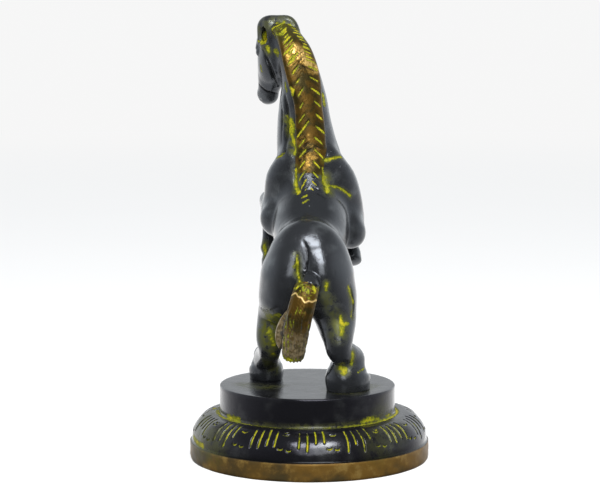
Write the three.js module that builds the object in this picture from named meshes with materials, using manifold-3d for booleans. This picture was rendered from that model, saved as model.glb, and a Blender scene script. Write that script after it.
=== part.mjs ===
// A cast brass horse rearing on a turned round plinth, a table ornament about 8 inches tall.
// Two castings: the horse, with its mane and tail in one piece, and the plinth that its hind hooves stand on.
// Millimetres, +Z up, from the middle of the plinth's underside. The horse faces +Y, so +X is its right.
import * as THREE from "three";
import { mergeVertices } from "three/addons/utils/BufferGeometryUtils.js";
import Module from "manifold-3d";

const wasm = await Module();
wasm.setup();

// Driving sizes of the plinth
const PLINTH_RADIUS = 55;
const PLINTH_HEIGHT = 33.5;
const BAND_HEIGHT = 8.2;
const DRUM_RADIUS = 40.3;
const DRUM_FOOT = 20.6;
const MOULDING_GROUPS = 15;
const STROKES_PER_GROUP = 4;
const PLINTH_SIDES = 60;
const PLINTH_TRIANGLES = 3200;

// Driving sizes of the horse. It leans to its left, and stands with the drum a little left of the middle.
const SOLE = PLINTH_HEIGHT;
const LEAN = 0.0222;
const HORSE_SHIFT = -0.65;
const DRUM_SHIFT = -0.9;
const FIELD_STEP = 0.9;
const HORSE_TRIANGLES = 6600;

// Colours of the finish
const BLACK_PAINT = { color: 0x1d1f22, roughness: 0.35, metalness: 0.35 };

const at = (x, y, z) => [x, y, z];
const add = (a, b, s = 1) => [a[0] + b[0] * s, a[1] + b[1] * s, a[2] + b[2] * s];
const sub = (a, b) => add(a, b, -1);
const dot = (a, b) => a[0] * b[0] + a[1] * b[1] + a[2] * b[2];
const cross = (a, b) => [
  a[1] * b[2] - a[2] * b[1],
  a[2] * b[0] - a[0] * b[2],
  a[0] * b[1] - a[1] * b[0],
];
const unit = (a) => a.map((v) => v / Math.hypot(...a));
const lerp = (a, b, t) => a.map((v, i) => v + (b[i] - v) * t);
const degrees = (d) => (d * Math.PI) / 180;

// Smooth values between the stations of a limb, by Catmull-Rom.
function between(values, i, t) {
  const v = (n) => values[Math.max(0, Math.min(values.length - 1, n))];
  const [p0, p1, p2, p3] = [v(i - 1), v(i), v(i + 1), v(i + 2)];
  const c1 = (p2 - p0) / 2;
  const c2 = p0 - 2.5 * p1 + 2 * p2 - 0.5 * p3;
  const c3 = (3 * (p1 - p2) + p3 - p0) / 2;
  return p1 + t * (c1 + t * (c2 + t * c3));
}

// Distance to a limb lofted through stations [x, y, z, half width, half depth, turn]. The turn, in degrees,
// swings the width axis from +X towards +Y. `relief` may carve the surface, given the place along and across.
const SAMPLES_PER_SPAN = 4;

function loft(stations, { blend = 2, relief = null, cap = 1, cut = false } = {}) {
  const valueOf = (station, c) => station[c] ?? (c === 4 ? station[3] : 0);
  const columns = [0, 1, 2, 3, 4, 5].map((c) => stations.map((station) => valueOf(station, c)));
  const knots = [];
  for (let i = 0; i < stations.length - 1; i++)
    for (let n = 0; n < SAMPLES_PER_SPAN; n++)
      knots.push([...columns.map((c) => between(c, i, n / SAMPLES_PER_SPAN)), i + n / SAMPLES_PER_SPAN]);
  knots.push([...columns.map((c) => c[c.length - 1]), stations.length - 1]);
  const frames = knots.map((knot, i) => {
    const run = unit(sub(knots[Math.min(i + 1, knots.length - 1)], knots[Math.max(i - 1, 0)]).slice(0, 3));
    const across = at(Math.cos(degrees(knot[5])), Math.sin(degrees(knot[5])), 0);
    const wide = unit(add(across, run, -dot(across, run)));
    return { run, wide, deep: cross(wide, run) };
  });
  const last = knots.length - 1;
  const passed = new Float64Array(knots.length);
  const distance = (x, y, z) => {
    for (let i = 0; i <= last; i++) {
      const { run } = frames[i];
      passed[i] = (x - knots[i][0]) * run[0] + (y - knots[i][1]) * run[1] + (z - knots[i][2]) * run[2];
    }
    let part = -1;
    let place = 0;
    let least = Infinity;
    const offer = (i, t) => {
      const [ax, ay, az] = knots[i];
      const [bx, by, bz] = knots[Math.min(i + 1, last)];
      const off = [x - ax - (bx - ax) * t, y - ay - (by - ay) * t, z - az - (bz - az) * t];
      const far = off[0] ** 2 + off[1] ** 2 + off[2] ** 2;
      if (far >= least) return;
      least = far;
      part = i;
      place = t;
    };
    if (passed[0] < 0) offer(0, 0);
    if (passed[last] > 0) offer(last - 1, 1);
    for (let i = 0; i < last; i++)
      if (passed[i] >= 0 && passed[i + 1] <= 0) offer(i, passed[i] / (passed[i] - passed[i + 1] || 1));
    if (part < 0) for (let i = 0; i <= last; i++) offer(Math.min(i, last - 1), i === last ? 1 : 0);
    const from = knots[part];
    const to = knots[part + 1];
    const start = frames[part];
    const end = frames[part + 1];
    const ex = x - from[0] - (to[0] - from[0]) * place;
    const ey = y - from[1] - (to[1] - from[1]) * place;
    const ez = z - from[2] - (to[2] - from[2]) * place;
    const rx = from[3] + (to[3] - from[3]) * place;
    const ry = from[4] + (to[4] - from[4]) * place;
    const rz = Math.min(rx, ry) * cap;
    const mix = (axis) => {
      const a = ex * start[axis][0] + ey * start[axis][1] + ez * start[axis][2];
      const b = ex * end[axis][0] + ey * end[axis][1] + ez * end[axis][2];
      return a + (b - a) * place;
    };
    const u = mix("wide") / rx;
    const v = mix("deep") / ry;
    const beyond = (part === 0 && place === 0) || (part === last - 1 && place === 1);
    const w = beyond ? mix("run") / rz : 0;
    const near = Math.sqrt(u * u + v * v + w * w);
    if (near < 1e-6) return -rz;
    const slope = Math.sqrt((u / rx) ** 2 + (v / ry) ** 2 + (w / rz) ** 2);
    const d = (near * (near - 1)) / slope;
    return relief && Math.abs(d) < 3 ? d + relief(from[6] + (to[6] - from[6]) * place, u) : d;
  };
  return { distance, blend, cut };
}

// Distance to an ellipsoid with three half sizes along three square axes.
const LEVEL = [at(1, 0, 0), at(0, 1, 0), at(0, 0, 1)];

function egg(centre, halves, { blend = 2, axes = LEVEL, cut = false } = {}) {
  const distance = (x, y, z) => {
    const d = at(x - centre[0], y - centre[1], z - centre[2]);
    const u = axes.map((axis, i) => dot(d, axis) / halves[i]);
    const near = Math.hypot(...u);
    const steepness = Math.hypot(...u.map((v, i) => v / halves[i]));
    return near < 1e-6 ? -Math.min(...halves) : (near * (near - 1)) / steepness;
  };
  return { distance, blend, cut };
}

// Joins two distances with a fillet about k wide. Cutting is the same with the signs turned round.
const fillet = (a, b, k) => Math.min(a, b) - Math.max(k - Math.abs(a - b), 0) ** 2 / (4 * k);
const merge = (d, form, e) => (form.cut ? -fillet(-d, e, form.blend) : fillet(d, e, form.blend));

// The trunk, back to front. It rises from the thighs, so the stations lean forward less than the back does.
const TRUNK = [
  [1.1, -16, 88.4, 14.4, 12.4],
  [1.1, -11, 90.8, 15.2, 15.4],
  [1.4, -3, 93.6, 15.6, 15.4],
  [2, 8, 96.6, 15.4, 14.6],
  [2.7, 20, 101, 17.6, 18.6],
  [3.2, 32, 107, 18, 19.6],
  [3.6, 43, 112, 15.5, 16.5],
];

// The haunches are rounded over the loin. Of the two buttocks the right is the fuller.
const BUTTOCK_LEFT = [
  [-5.6, -14.6, 92, 7.6, 10],
  [-8.4, -17, 85.5, 9.8, 13],
  [-9.6, -15, 76, 10.6, 13.6],
];
const BUTTOCK_RIGHT = [
  [4.8, -15.6, 94, 9.2, 11.8],
  [6.8, -17.6, 86.5, 11, 14.2],
  [10.4, -15.4, 77, 11, 13.8],
];

// A shoulder runs down from the root of the neck to the upper arm.
function shoulder(side, top, middle) {
  const stations = [
    [3.2 + side * 8.6, 31, 134.5, 6.2],
    [3.4 + side * top, 33, 126.5, 8.6],
    [3.6 + side * middle, 37, 116.5, 9.6],
    [4 + side * (middle + 1), 41, 108, 9.2],
  ];
  return [loft(stations, { blend: 5 }), egg([3.6 + side * 7, 49, 111], [8.4, 8.4, 10], { blend: 4 })];
}

function trunkForms() {
  return [
    loft(TRUNK, { blend: 1 }),
    egg([1.6, -13.5, 89.2], [18.6, 15.2, 21.4], { blend: 1.2 }),
    loft(BUTTOCK_LEFT, { blend: 6 }),
    loft(BUTTOCK_RIGHT, { blend: 2.4 }),
    ...shoulder(-1, 12.2, 13),
    ...shoulder(1, 12.4, 14.4),
  ];
}

// A hind leg: thigh, gaskin, hock and cannon
const HIND_RIGHT = [
  [9.6, -13, 84, 12, 15],
  [11.8, -13, 73, 10.8, 13.4],
  [13.2, -16, 64.5, 9.2, 10.8],
  [13.8, -21.5, 57.5, 7, 7.8],
  [14.4, -22.6, 52.6, 5.8, 6.4],
  [17.6, -18, 49.6, 6, 6],
  [19.2, -14.6, 46.4, 6.4, 6.6],
];
const HIND_LEFT = [
  [-7.8, -13, 84, 11.8, 15],
  [-10.8, -9.5, 73, 10.6, 12.8],
  [-14.2, -6, 64, 8.4, 9.8],
  [-16.6, -8.5, 56, 6.6, 7],
  [-17, -6.4, 51, 5.4, 5.8],
  [-17.8, -0.6, 47.6, 5.2, 5.6],
  [-19, 7.4, 44.2, 5.8, 6.4],
];
const CORONET_DEPTH = 0.3;

// A rounded groove about one place along a limb
const groove = (value, centre, width) => Math.max(0, 1 - ((value - centre) / width) ** 2);

// A bell-shaped foot: the pastern and the wall in one sweep, with the heel as a block behind.
function hoofForms({ x, y, turn, rise, size }) {
  const ahead = at(-Math.sin(degrees(turn)), Math.cos(degrees(turn)), 0);
  const ring = (reach, height, across, deep) => {
    const centre = add(at(x, y, SOLE + height * rise), ahead, reach * size);
    return [...centre, across * size, deep * size, turn];
  };
  const wall = [
    ring(1.8, 13.4, 6.2, 6.2),
    ring(0.6, 10.4, 7.8, 8.4),
    ring(-0.2, 7.2, 9.2, 10.2),
    ring(0, 4, 9.5, 10.8),
    ring(0.4, 1, 9, 10.4),
    ring(0.8, -4, 8.4, 9.8),
  ];
  const heel = [
    ring(-6.6, 9.4, 4.4, 3),
    ring(-7.2, 6, 6.4, 4.2),
    ring(-7, 2, 6.2, 4.2),
    ring(-6.8, -3, 5.6, 3.8),
  ];
  const coronet = (place) => CORONET_DEPTH * groove(place, 1.5, 0.25);
  return [loft(wall, { blend: 1.5, relief: coronet }), loft(heel, { blend: 1.2 })];
}

// A foreleg: upper arm and elbow, raised forearm, bent knee, and the cannon and hoof hanging from it.
function forelegForms({ arm, elbow, knee, fetlock, hoof }) {
  const towards = unit(sub(hoof, fetlock));
  const upper = [[...arm, 8, 10], [...elbow, 7, 8.2]];
  const forearm = [[...elbow, 6.8, 7.6], [...lerp(elbow, knee, 0.55), 5.6, 6.6], [...knee, 5, 5.4]];
  const cannon = [
    [...knee, 4.6, 5],
    [...lerp(knee, fetlock, 0.3), 3.7, 4],
    [...lerp(knee, fetlock, 0.75), 3.3, 3.5],
    [...fetlock, 4, 4.4],
  ];
  const foot = [
    [...fetlock, 3.7, 3.8],
    [...add(fetlock, towards, 3.4), 3.5, 3.7],
    [...add(fetlock, towards, 6), 4.4, 4.7],
    [...hoof, 4.9, 5.3],
  ];
  return [
    loft(upper, { blend: 3 }),
    loft(forearm, { blend: 2.5 }),
    loft(cannon, { blend: 1.5 }),
    loft(foot, { blend: 1, cap: 0.4 }),
  ];
}

const FORE_RIGHT = {
  arm: at(18.4, 40, 112),
  elbow: at(21.6, 31, 100.6),
  knee: at(22.6, 58, 116),
  fetlock: at(22.8, 54, 94.4),
  hoof: at(22.6, 48.2, 85.4),
};
const FORE_LEFT = {
  arm: at(-11.4, 40, 112),
  elbow: at(-13.4, 31, 107),
  knee: at(-16.6, 58, 113.4),
  fetlock: at(-17.6, 54, 91),
  hoof: at(-16.4, 49, 82.4),
};

// The neck's turn to the left grows towards the head.
const NECK = [
  [3.4, 36, 119, 15.6, 17.5, 0],
  [3.2, 39, 132, 15.8, 16.5, 4],
  [1.8, 40.5, 143, 14.2, 14.6, 9],
  [1, 40.5, 153, 12.7, 13.4, 14],
  [0.8, 40.5, 163, 11.1, 12.6, 19],
  [0, 41, 172, 9.2, 11.6, 23],
  [-2.4, 42, 181, 8.2, 10.8, 27],
  [-6.2, 44.5, 189.5, 7.4, 9.4, 30],
  [-9.4, 47, 195, 6.4, 7.4, 30],
];

// The head hangs from the poll, turned left, with the muzzle tucked towards the chest.
const HEAD_TURN = 30;
const POLL = at(-10.6, 48, 194);
const MUZZLE = at(-16.2, 61, 166);
const HEAD_DOWN = unit(sub(MUZZLE, POLL));
const FACING = at(Math.sin(degrees(-HEAD_TURN)), Math.cos(degrees(-HEAD_TURN)), 0);
const HEAD_RIGHT = unit(cross(HEAD_DOWN, FACING));
const HEAD_FRONT = cross(HEAD_RIGHT, HEAD_DOWN);
const head = (right, front, down) =>
  add(add(add(POLL, HEAD_RIGHT, right), HEAD_FRONT, front), HEAD_DOWN, down);

function headForms() {
  const axes = [HEAD_RIGHT, HEAD_FRONT, HEAD_DOWN];
  const placed = ([front, down, across, deep]) => [...head(0, front, down), across, deep, HEAD_TURN];
  const skull = [
    [0, -1, 7.4, 7],
    [-0.4, 5, 8.4, 8.2],
    [-0.8, 11, 8.4, 9],
    [-0.6, 17, 7.4, 8.6],
    [-0.1, 23, 6.2, 7.4],
    [0.2, 28, 5.2, 6],
    [0.2, 32, 5, 5],
  ].map(placed);
  const paired = [-1, 1].flatMap((s) => [
    egg(head(s * 4.2, -4, 12), [3.6, 6, 9.5], { blend: 3, axes }),
    loft([[...head(s * 6, 4.6, 4.6), 2.2], [...head(s * 7.2, 3.6, 8.2), 1.7]], { blend: 1.2 }),
    egg(head(s * 7.7, 2.1, 9.6), [1.5, 1.7, 2.1], { blend: 0.5, axes }),
    egg(head(s * 2.9, 2.1, 32.2), [1.7, 2, 2.3], { blend: 1, axes }),
  ]);
  const mouth = [[-6, -1.6, 33], [0, 0.6, 36.4], [6, -1.6, 33]].map((spot) => [...head(...spot), 0.7, 0.5]);
  return [
    loft(skull, { blend: 2 }),
    egg(head(0, -2.6, 31.4), [3.6, 3.4, 3.6], { blend: 1.2, axes }),
    ...paired,
    loft(mouth, { blend: 0.6, cut: true }),
  ];
}

// The ears are pinned back and meet in one rounded ridge over the poll, from one ear's root to the other's.
const EAR_RIDGE = [
  [-19.2, 48.5, 190.5, 1.3],
  [-19, 48, 194.6, 1.6],
  [-18, 47, 198.4, 2.4],
  [-15.4, 46, 200.2, 2.9],
  [-10.6, 45, 200.6, 2.7],
  [-5.8, 44, 200.4, 2.7],
  [-3.4, 43.4, 198.6, 2.3],
  [-2.2, 43, 195.8, 2.2],
];
const EAR_HOLLOW = [-16.2, 44.2, 193.6];

function earForms() {
  const up = at(0, 0, 1);
  const crown = add(head(0, -1, -2), up, 3.6);
  const tuft = [[...head(0, -1.5, 0), 7.4, 4.6, HEAD_TURN], [...crown, 7.6, 3, HEAD_TURN]];
  const ears = [-1, 1].flatMap((s) => {
    const root = head(s * 6.6, -1.6, 5);
    const tip = add(head(s * 5.6, -0.4, -1), up, 5.2);
    const leaf = [
      [...root, 2.6, 3.4, HEAD_TURN],
      [...lerp(root, tip, 0.5), 3.2, 4.2, HEAD_TURN],
      [...tip, 2.6, 3, HEAD_TURN],
    ];
    const low = add(root, HEAD_FRONT, 3.4);
    const high = add(add(tip, HEAD_FRONT, 3.4), up, -0.6);
    const hollow = [[...low, 1.5, 1.6, HEAD_TURN], [...high, 1, 1.2, HEAD_TURN]];
    return [loft(leaf, { blend: 1 }), loft(hollow, { blend: 0.6, cut: true })];
  });
  const pinned = egg(EAR_HOLLOW, [3.2, 2.4, 4.6], { blend: 1.2, cut: true });
  return [loft(tuft, { blend: 1.2 }), loft(EAR_RIDGE, { blend: 1 }), ...ears, pinned];
}

// The mane lies along the crest as a thick band, cut with pairs of strokes that fall outwards.
const MANE = [
  [-8.8, 43.6, 196.6, 5.4, 3, 30],
  [-6.2, 39.4, 194, 6.4, 3.4, 30],
  [-2.8, 34.8, 188, 8, 3.4, 28],
  [-0.4, 31.6, 180, 8.6, 3.2, 24],
  [1.6, 29.6, 171, 8.2, 3.2, 20],
  [3, 28.4, 161, 6.8, 3.2, 15],
  [3.7, 27.2, 150, 7.1, 3, 10],
  [3.8, 25.4, 139, 7, 3, 6],
  [2.8, 22.6, 129, 6, 3, 3],
  [2.6, 19.4, 121.5, 4, 2.2, 0],
  [2.6, 17.4, 117.5, 1.6, 1.2, 0],
];
const LOCKS_PER_STATION = 1.9;
const LOCK_DEPTH = 0.95;
const FALL_LEFT = 0.85;
const FALL_RIGHT = 0.5;

function maneForm() {
  const relief = (place, u) => {
    const phase = (place - Math.abs(u) * (u < 0 ? FALL_LEFT : FALL_RIGHT)) * LOCKS_PER_STATION;
    const wave = Math.abs(phase - Math.round(phase)) * 2;
    return LOCK_DEPTH * Math.max(0, 1 - 2.2 * wave);
  };
  return loft(MANE, { blend: 0.8, relief, cap: 0.6 });
}

// The short tail hangs clear of the hocks, grooved along its length, and ends square.
const TAIL = [
  [1.4, -24, 86.5, 4.6, 4],
  [1.1, -31.5, 84, 5.3, 4.2],
  [-0.4, -37, 79.4, 5.6, 4.2],
  [-2.6, -39, 72, 5.8, 4],
  [-4.5, -39, 64, 5.7, 3.9],
  [-5.9, -38.4, 55, 5.3, 3.8],
  [-6.2, -37.8, 51.4, 4.8, 3.4],
];
const TAIL_GROOVES = 5;
const COMBED_FROM = 2.2;

// A thin lock of the tail hangs to its left, a little in front of the rest.
const TAIL_LOCK = [
  [-3.4, -33, 74, 2.4, 2.4],
  [-8.8, -33.5, 67, 3, 2.6],
  [-11.2, -34, 61, 2.8, 2.4],
  [-11.6, -34.4, 56.5, 1.7, 1.6],
];

function tailForms() {
  const relief = (place, u) => {
    const phase = (Math.max(-1, Math.min(1, u)) * TAIL_GROOVES) / 2;
    const wave = Math.abs(phase - Math.round(phase)) * 2;
    return place > COMBED_FROM ? 0.6 * Math.max(0, 1 - 2 * wave) : 0;
  };
  return [loft(TAIL_LOCK, { blend: 0.5 }), loft(TAIL, { blend: 0.8, relief, cap: 0.6 })];
}

// The whole horse as one distance field. Each small cell of space keeps only the forms that can reach it.
const CELL = 7;
const CELL_REACH = 17;

function horseField() {
  const forms = [
    ...trunkForms(),
    loft(HIND_RIGHT, { blend: 4 }),
    loft(HIND_LEFT, { blend: 4 }),
    ...hoofForms({ x: 18.2, y: -15.4, turn: -42, rise: 1.04, size: 1 }),
    ...hoofForms({ x: -19.4, y: 12.8, turn: 20, rise: 0.8, size: 0.84 }),
    ...forelegForms(FORE_RIGHT),
    ...forelegForms(FORE_LEFT),
    loft(NECK, { blend: 4 }),
    ...headForms(),
    ...earForms(),
    maneForm(),
    ...tailForms(),
  ];
  const blendOf = (list, [x, y, z]) => {
    let d = 1e3;
    for (const form of list) d = merge(d, form, form.distance(x, y, z));
    return d;
  };
  const cells = new Map();
  return (p) => {
    const [i, j, k] = p.map((v) => Math.floor(v / CELL));
    const key = (i * 1000 + j) * 1000 + k;
    let cell = cells.get(key);
    if (!cell) {
      const middle = [i, j, k].map((n) => (n + 0.5) * CELL);
      const rough = blendOf(forms, middle);
      cell = forms.filter((form) => form.distance(...middle) < Math.abs(rough) + CELL_REACH + form.blend);
      cells.set(key, cell);
    }
    return Math.max(blendOf(cell, p), SOLE - 2 - p[2]);
  };
}

// Fills the grid corners where the solid would meet itself at a point or an edge, so its skin stays closed.
function untangle(value, count) {
  const strides = [count[1] * count[2], count[2], 1];
  const shiftOf = (c) => (c & 1) * strides[0] + ((c >> 1) & 1) * strides[1] + (c >> 2);
  const shifts = [0, 1, 2, 3, 4, 5, 6, 7].map(shiftOf);
  const joined = (mask) => {
    let seen = mask & -mask;
    for (let pass = 0; pass < 8; pass++)
      for (let c = 0; c < 8; c++) {
        if (!((seen >> c) & 1)) continue;
        for (const bit of [1, 2, 4]) seen |= mask & (1 << (c ^ bit));
      }
    return seen === mask;
  };
  const sound = Array.from({ length: 256 }, (_, mask) => joined(mask) && joined(255 ^ mask));
  for (let again = true; again; ) {
    again = false;
    for (let i = 0; i < count[0] - 1; i++)
      for (let j = 0; j < count[1] - 1; j++)
        for (let k = 0; k < count[2] - 1; k++) {
          const here = i * strides[0] + j * strides[1] + k;
          const mask = shifts.reduce((m, shift, c) => m | ((value[here + shift] < 0) << c), 0);
          if (sound[mask]) continue;
          const open = shifts.filter((_, c) => !((mask >> c) & 1));
          const lower = (best, shift) => (value[here + shift] < value[here + best] ? shift : best);
          const next = open.reduce(lower);
          value[here + next] = -0.02;
          again = true;
        }
  }
}

// Surface nets: a vertex in each grid cell that the surface crosses, and a quad across each edge it cuts.
function meshOfField(field, low, high, step) {
  const count = low.map((v, i) => Math.ceil((high[i] - v) / step) + 1);
  const [nx, ny, nz] = count;
  const index = (i, j, k) => (i * ny + j) * nz + k;
  const value = new Float32Array(nx * ny * nz);
  const block = 6;
  const reach = block * step * 1.8;
  for (let bi = 0; bi < nx; bi += block)
    for (let bj = 0; bj < ny; bj += block)
      for (let bk = 0; bk < nz; bk += block) {
        const middle = add(low, [bi, bj, bk].map((n) => (n + block / 2) * step));
        const rough = field(middle);
        for (let i = bi; i < Math.min(bi + block, nx); i++)
          for (let j = bj; j < Math.min(bj + block, ny); j++)
            for (let k = bk; k < Math.min(bk + block, nz); k++) {
              const corner = [low[0] + i * step, low[1] + j * step, low[2] + k * step];
              value[index(i, j, k)] = Math.abs(rough) > reach ? rough : field(corner);
            }
      }
  untangle(value, count);
  const corners = [0, 1, 2, 3, 4, 5, 6, 7].map((c) => [c & 1, (c >> 1) & 1, (c >> 2) & 1]);
  const edgesFrom = (a) => [1, 2, 4].filter((bit) => !(a & bit)).map((bit) => [a, a | bit]);
  const edges = [0, 1, 2, 3, 4, 5, 6].flatMap(edgesFrom);
  const vertexOf = new Map();
  const points = [];
  for (let i = 0; i < nx - 1; i++)
    for (let j = 0; j < ny - 1; j++)
      for (let k = 0; k < nz - 1; k++) {
        const v = corners.map(([a, b, c]) => value[index(i + a, j + b, k + c)]);
        if (v.every((d) => d < 0) || v.every((d) => d >= 0)) continue;
        let sum = [0, 0, 0];
        let n = 0;
        for (const [a, b] of edges) {
          if (v[a] < 0 === v[b] < 0) continue;
          sum = add(sum, lerp(corners[a], corners[b], v[a] / (v[a] - v[b])));
          n++;
        }
        vertexOf.set(index(i, j, k), points.length);
        points.push([i, j, k].map((m, axis) => low[axis] + (m + sum[axis] / n) * step));
      }
  const triangles = [];
  const strides = [ny * nz, nz, 1];
  for (let i = 1; i < nx - 1; i++)
    for (let j = 1; j < ny - 1; j++)
      for (let k = 1; k < nz - 1; k++) {
        const here = index(i, j, k);
        for (let axis = 0; axis < 3; axis++) {
          const inside = value[here] < 0;
          if (inside === value[here + strides[axis]] < 0) continue;
          const u = strides[(axis + 1) % 3];
          const v = strides[(axis + 2) % 3];
          const quad = [here, here - u, here - u - v, here - v].map((cell) => vertexOf.get(cell));
          if (!inside) quad.reverse();
          triangles.push([quad[0], quad[1], quad[2]], [quad[0], quad[2], quad[3]]);
        }
      }
  return { points, triangles };
}

// Moves each vertex onto the surface along the field's slope.
function settle(mesh, field) {
  const nudge = 0.05;
  mesh.points = mesh.points.map((start) => {
    let p = start;
    for (let pass = 0; pass < 3; pass++) {
      const d = field(p);
      const slope = [0, 1, 2].map((i) => {
        const step = at(0, 0, 0);
        step[i] = nudge;
        return (field(add(p, step)) - field(sub(p, step))) / (2 * nudge);
      });
      const steep = dot(slope, slope);
      if (steep > 0.05) p = add(p, slope, -Math.max(-0.4, Math.min(0.4, d)) / steep);
    }
    return p;
  });
}

// A heap of { cost, ... } with the cheapest first.
class Heap {
  items = [];
  push(item) {
    const { items } = this;
    let spot = items.push(item) - 1;
    while (spot > 0 && items[(spot - 1) >> 1].cost > item.cost) {
      items[spot] = items[(spot - 1) >> 1];
      spot = (spot - 1) >> 1;
    }
    items[spot] = item;
  }
  pop() {
    const { items } = this;
    const top = items[0];
    const last = items.pop();
    if (!items.length) return top;
    let spot = 0;
    for (;;) {
      let child = 2 * spot + 1;
      if (child >= items.length) break;
      if (child + 1 < items.length && items[child + 1].cost < items[child].cost) child++;
      if (items[child].cost >= last.cost) break;
      items[spot] = items[child];
      spot = child;
    }
    items[spot] = last;
    return top;
  }
}

// Collapses the edges that change the shape least, until `wanted` triangles are left. The mesh stays closed.
function simplify({ points, triangles }, wanted) {
  const faces = triangles.map((t) => [...t]);
  const around = points.map(() => new Set());
  faces.forEach((f, n) => f.forEach((v) => around[v].add(n)));
  const planeOf = ([a, b, c]) => {
    const n = cross(sub(points[b], points[a]), sub(points[c], points[a]));
    const length = Math.hypot(...n) || 1e-12;
    const normal = n.map((v) => v / length);
    return { normal, offset: -dot(normal, points[a]), area: length / 2 };
  };
  const quadric = points.map(() => new Float64Array(10));
  for (const f of faces) {
    const { normal, offset, area } = planeOf(f);
    const row = [...normal, offset];
    const products = row.flatMap((value, i) => row.slice(i).map((other) => value * other * area));
    for (const v of f) products.forEach((product, n) => (quadric[v][n] += product));
  }
  const errorAt = (q, [x, y, z]) => {
    const squares = q[0] * x * x + q[4] * y * y + q[7] * z * z;
    const crossed = q[1] * x * y + q[2] * x * z + q[5] * y * z;
    return squares + 2 * (crossed + q[3] * x + q[6] * y + q[8] * z) + q[9];
  };
  const bestPoint = (q, a, b) => {
    const m = new THREE.Matrix3().set(q[0], q[1], q[2], q[1], q[4], q[5], q[2], q[5], q[7]);
    const choices = [a, b, lerp(a, b, 0.5)];
    if (Math.abs(m.determinant()) > 1e-4) {
      const solved = new THREE.Vector3(-q[3], -q[6], -q[8]).applyMatrix3(m.invert()).toArray();
      if (Math.hypot(...sub(solved, choices[2])) < 2 * Math.hypot(...sub(a, b))) choices.push(solved);
    }
    return choices.reduce((best, p) => (errorAt(q, p) < errorAt(q, best) ? p : best));
  };
  const version = new Int32Array(points.length);
  const heap = new Heap();
  const offer = (a, b) => {
    const q = quadric[a].map((v, i) => v + quadric[b][i]);
    const p = bestPoint(q, points[a], points[b]);
    const length = Math.hypot(...sub(points[a], points[b]));
    heap.push({ cost: errorAt(q, p) + 2e-5 * length * length, a, b, p, va: version[a], vb: version[b] });
  };
  const neighbours = (v) => new Set([...around[v]].flatMap((n) => faces[n].filter((w) => w !== v)));
  points.forEach((_, v) => neighbours(v).forEach((w) => v < w && offer(v, w)));
  let left = faces.length;
  while (left > wanted && heap.items.length) {
    const { a, b, p, va, vb } = heap.pop();
    if (version[a] !== va || version[b] !== vb) continue;
    const shared = [...neighbours(a)].filter((v) => neighbours(b).has(v));
    if (shared.length !== 2) continue;
    const gone = [...around[a]].filter((n) => around[b].has(n));
    const kept = [...around[a], ...around[b]].filter((n) => !gone.includes(n));
    const flips = kept.some((n) => {
      const before = planeOf(faces[n]).normal;
      const moved = faces[n].map((v) => (v === a || v === b ? p : points[v]));
      const after = cross(sub(moved[1], moved[0]), sub(moved[2], moved[0]));
      return dot(before, after) < 0.2 * Math.hypot(...after);
    });
    if (flips) continue;
    points[a] = p;
    for (const n of gone) for (const v of faces[n]) around[v].delete(n);
    for (const n of around[b]) {
      faces[n] = faces[n].map((v) => (v === b ? a : v));
      around[a].add(n);
    }
    around[b] = new Set();
    quadric[a] = quadric[a].map((v, i) => v + quadric[b][i]);
    version[a]++;
    version[b] = -1;
    gone.forEach((n) => (faces[n] = null));
    left -= gone.length;
    for (const v of neighbours(a)) offer(Math.min(a, v), Math.max(a, v));
  }
  return { points, triangles: faces.filter(Boolean) };
}

// Between the three.js geometries and the solids of manifold-3d
function solidOf(geometry) {
  const bare = geometry.clone();
  bare.deleteAttribute("normal");
  bare.deleteAttribute("uv");
  const merged = mergeVertices(bare, 1e-4);
  return new wasm.Manifold(
    new wasm.Mesh({
      numProp: 3,
      vertProperties: new Float32Array(merged.attributes.position.array),
      triVerts: new Uint32Array(merged.index.array),
    }),
  );
}

function geometryOf(solid) {
  const { vertProperties, triVerts } = solid.getMesh();
  const geometry = new THREE.BufferGeometry();
  geometry.setAttribute("position", new THREE.BufferAttribute(vertProperties, 3));
  geometry.setIndex(new THREE.BufferAttribute(triVerts, 1));
  return geometry;
}

function meshOf(solid) {
  const { vertProperties, triVerts } = solid.getMesh();
  const three = (values, n) => [...values.slice(3 * n, 3 * n + 3)];
  const threes = (values) => Array.from({ length: values.length / 3 }, (_, n) => three(values, n));
  return { points: threes(vertProperties), triangles: threes(triVerts) };
}

function geometryOfMesh({ points, triangles }) {
  const geometry = new THREE.BufferGeometry();
  geometry.setAttribute("position", new THREE.Float32BufferAttribute(points.flat(), 3));
  geometry.setIndex(triangles.flat());
  return mergeVertices(geometry, 1e-5);
}

// The largest connected shell of a mesh.
function largestShell({ points, triangles }) {
  const parent = points.map((_, i) => i);
  const root = (i) => {
    while (parent[i] !== i) {
      parent[i] = parent[parent[i]];
      i = parent[i];
    }
    return i;
  };
  for (const [a, b, c] of triangles) {
    parent[root(b)] = root(a);
    parent[root(c)] = root(a);
  }
  const size = new Map();
  for (const [a] of triangles) size.set(root(a), (size.get(root(a)) ?? 0) + 1);
  const [largest] = [...size].reduce((best, entry) => (entry[1] > best[1] ? entry : best));
  return { points, triangles: triangles.filter(([a]) => root(a) === largest) };
}

// The horse's surface, cut flat where the hind hooves stand on the plinth.
function horse() {
  const field = horseField();
  const mesh = meshOfField(field, at(-40, -52, SOLE - 7), at(42, 76, 212), FIELD_STEP);
  const shell = largestShell(mesh);
  settle(shell, field);
  shell.points = shell.points.map(([x, y, z]) => at(x + HORSE_SHIFT - LEAN * (z - SOLE), y, z));
  const rough = solidOf(geometryOfMesh(simplify(shell, HORSE_TRIANGLES)));
  const floor = new THREE.BoxGeometry(200, 200, 20).translate(0, 0, SOLE - 10);
  return geometryOf(rough.subtract(solidOf(floor)));
}

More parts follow.
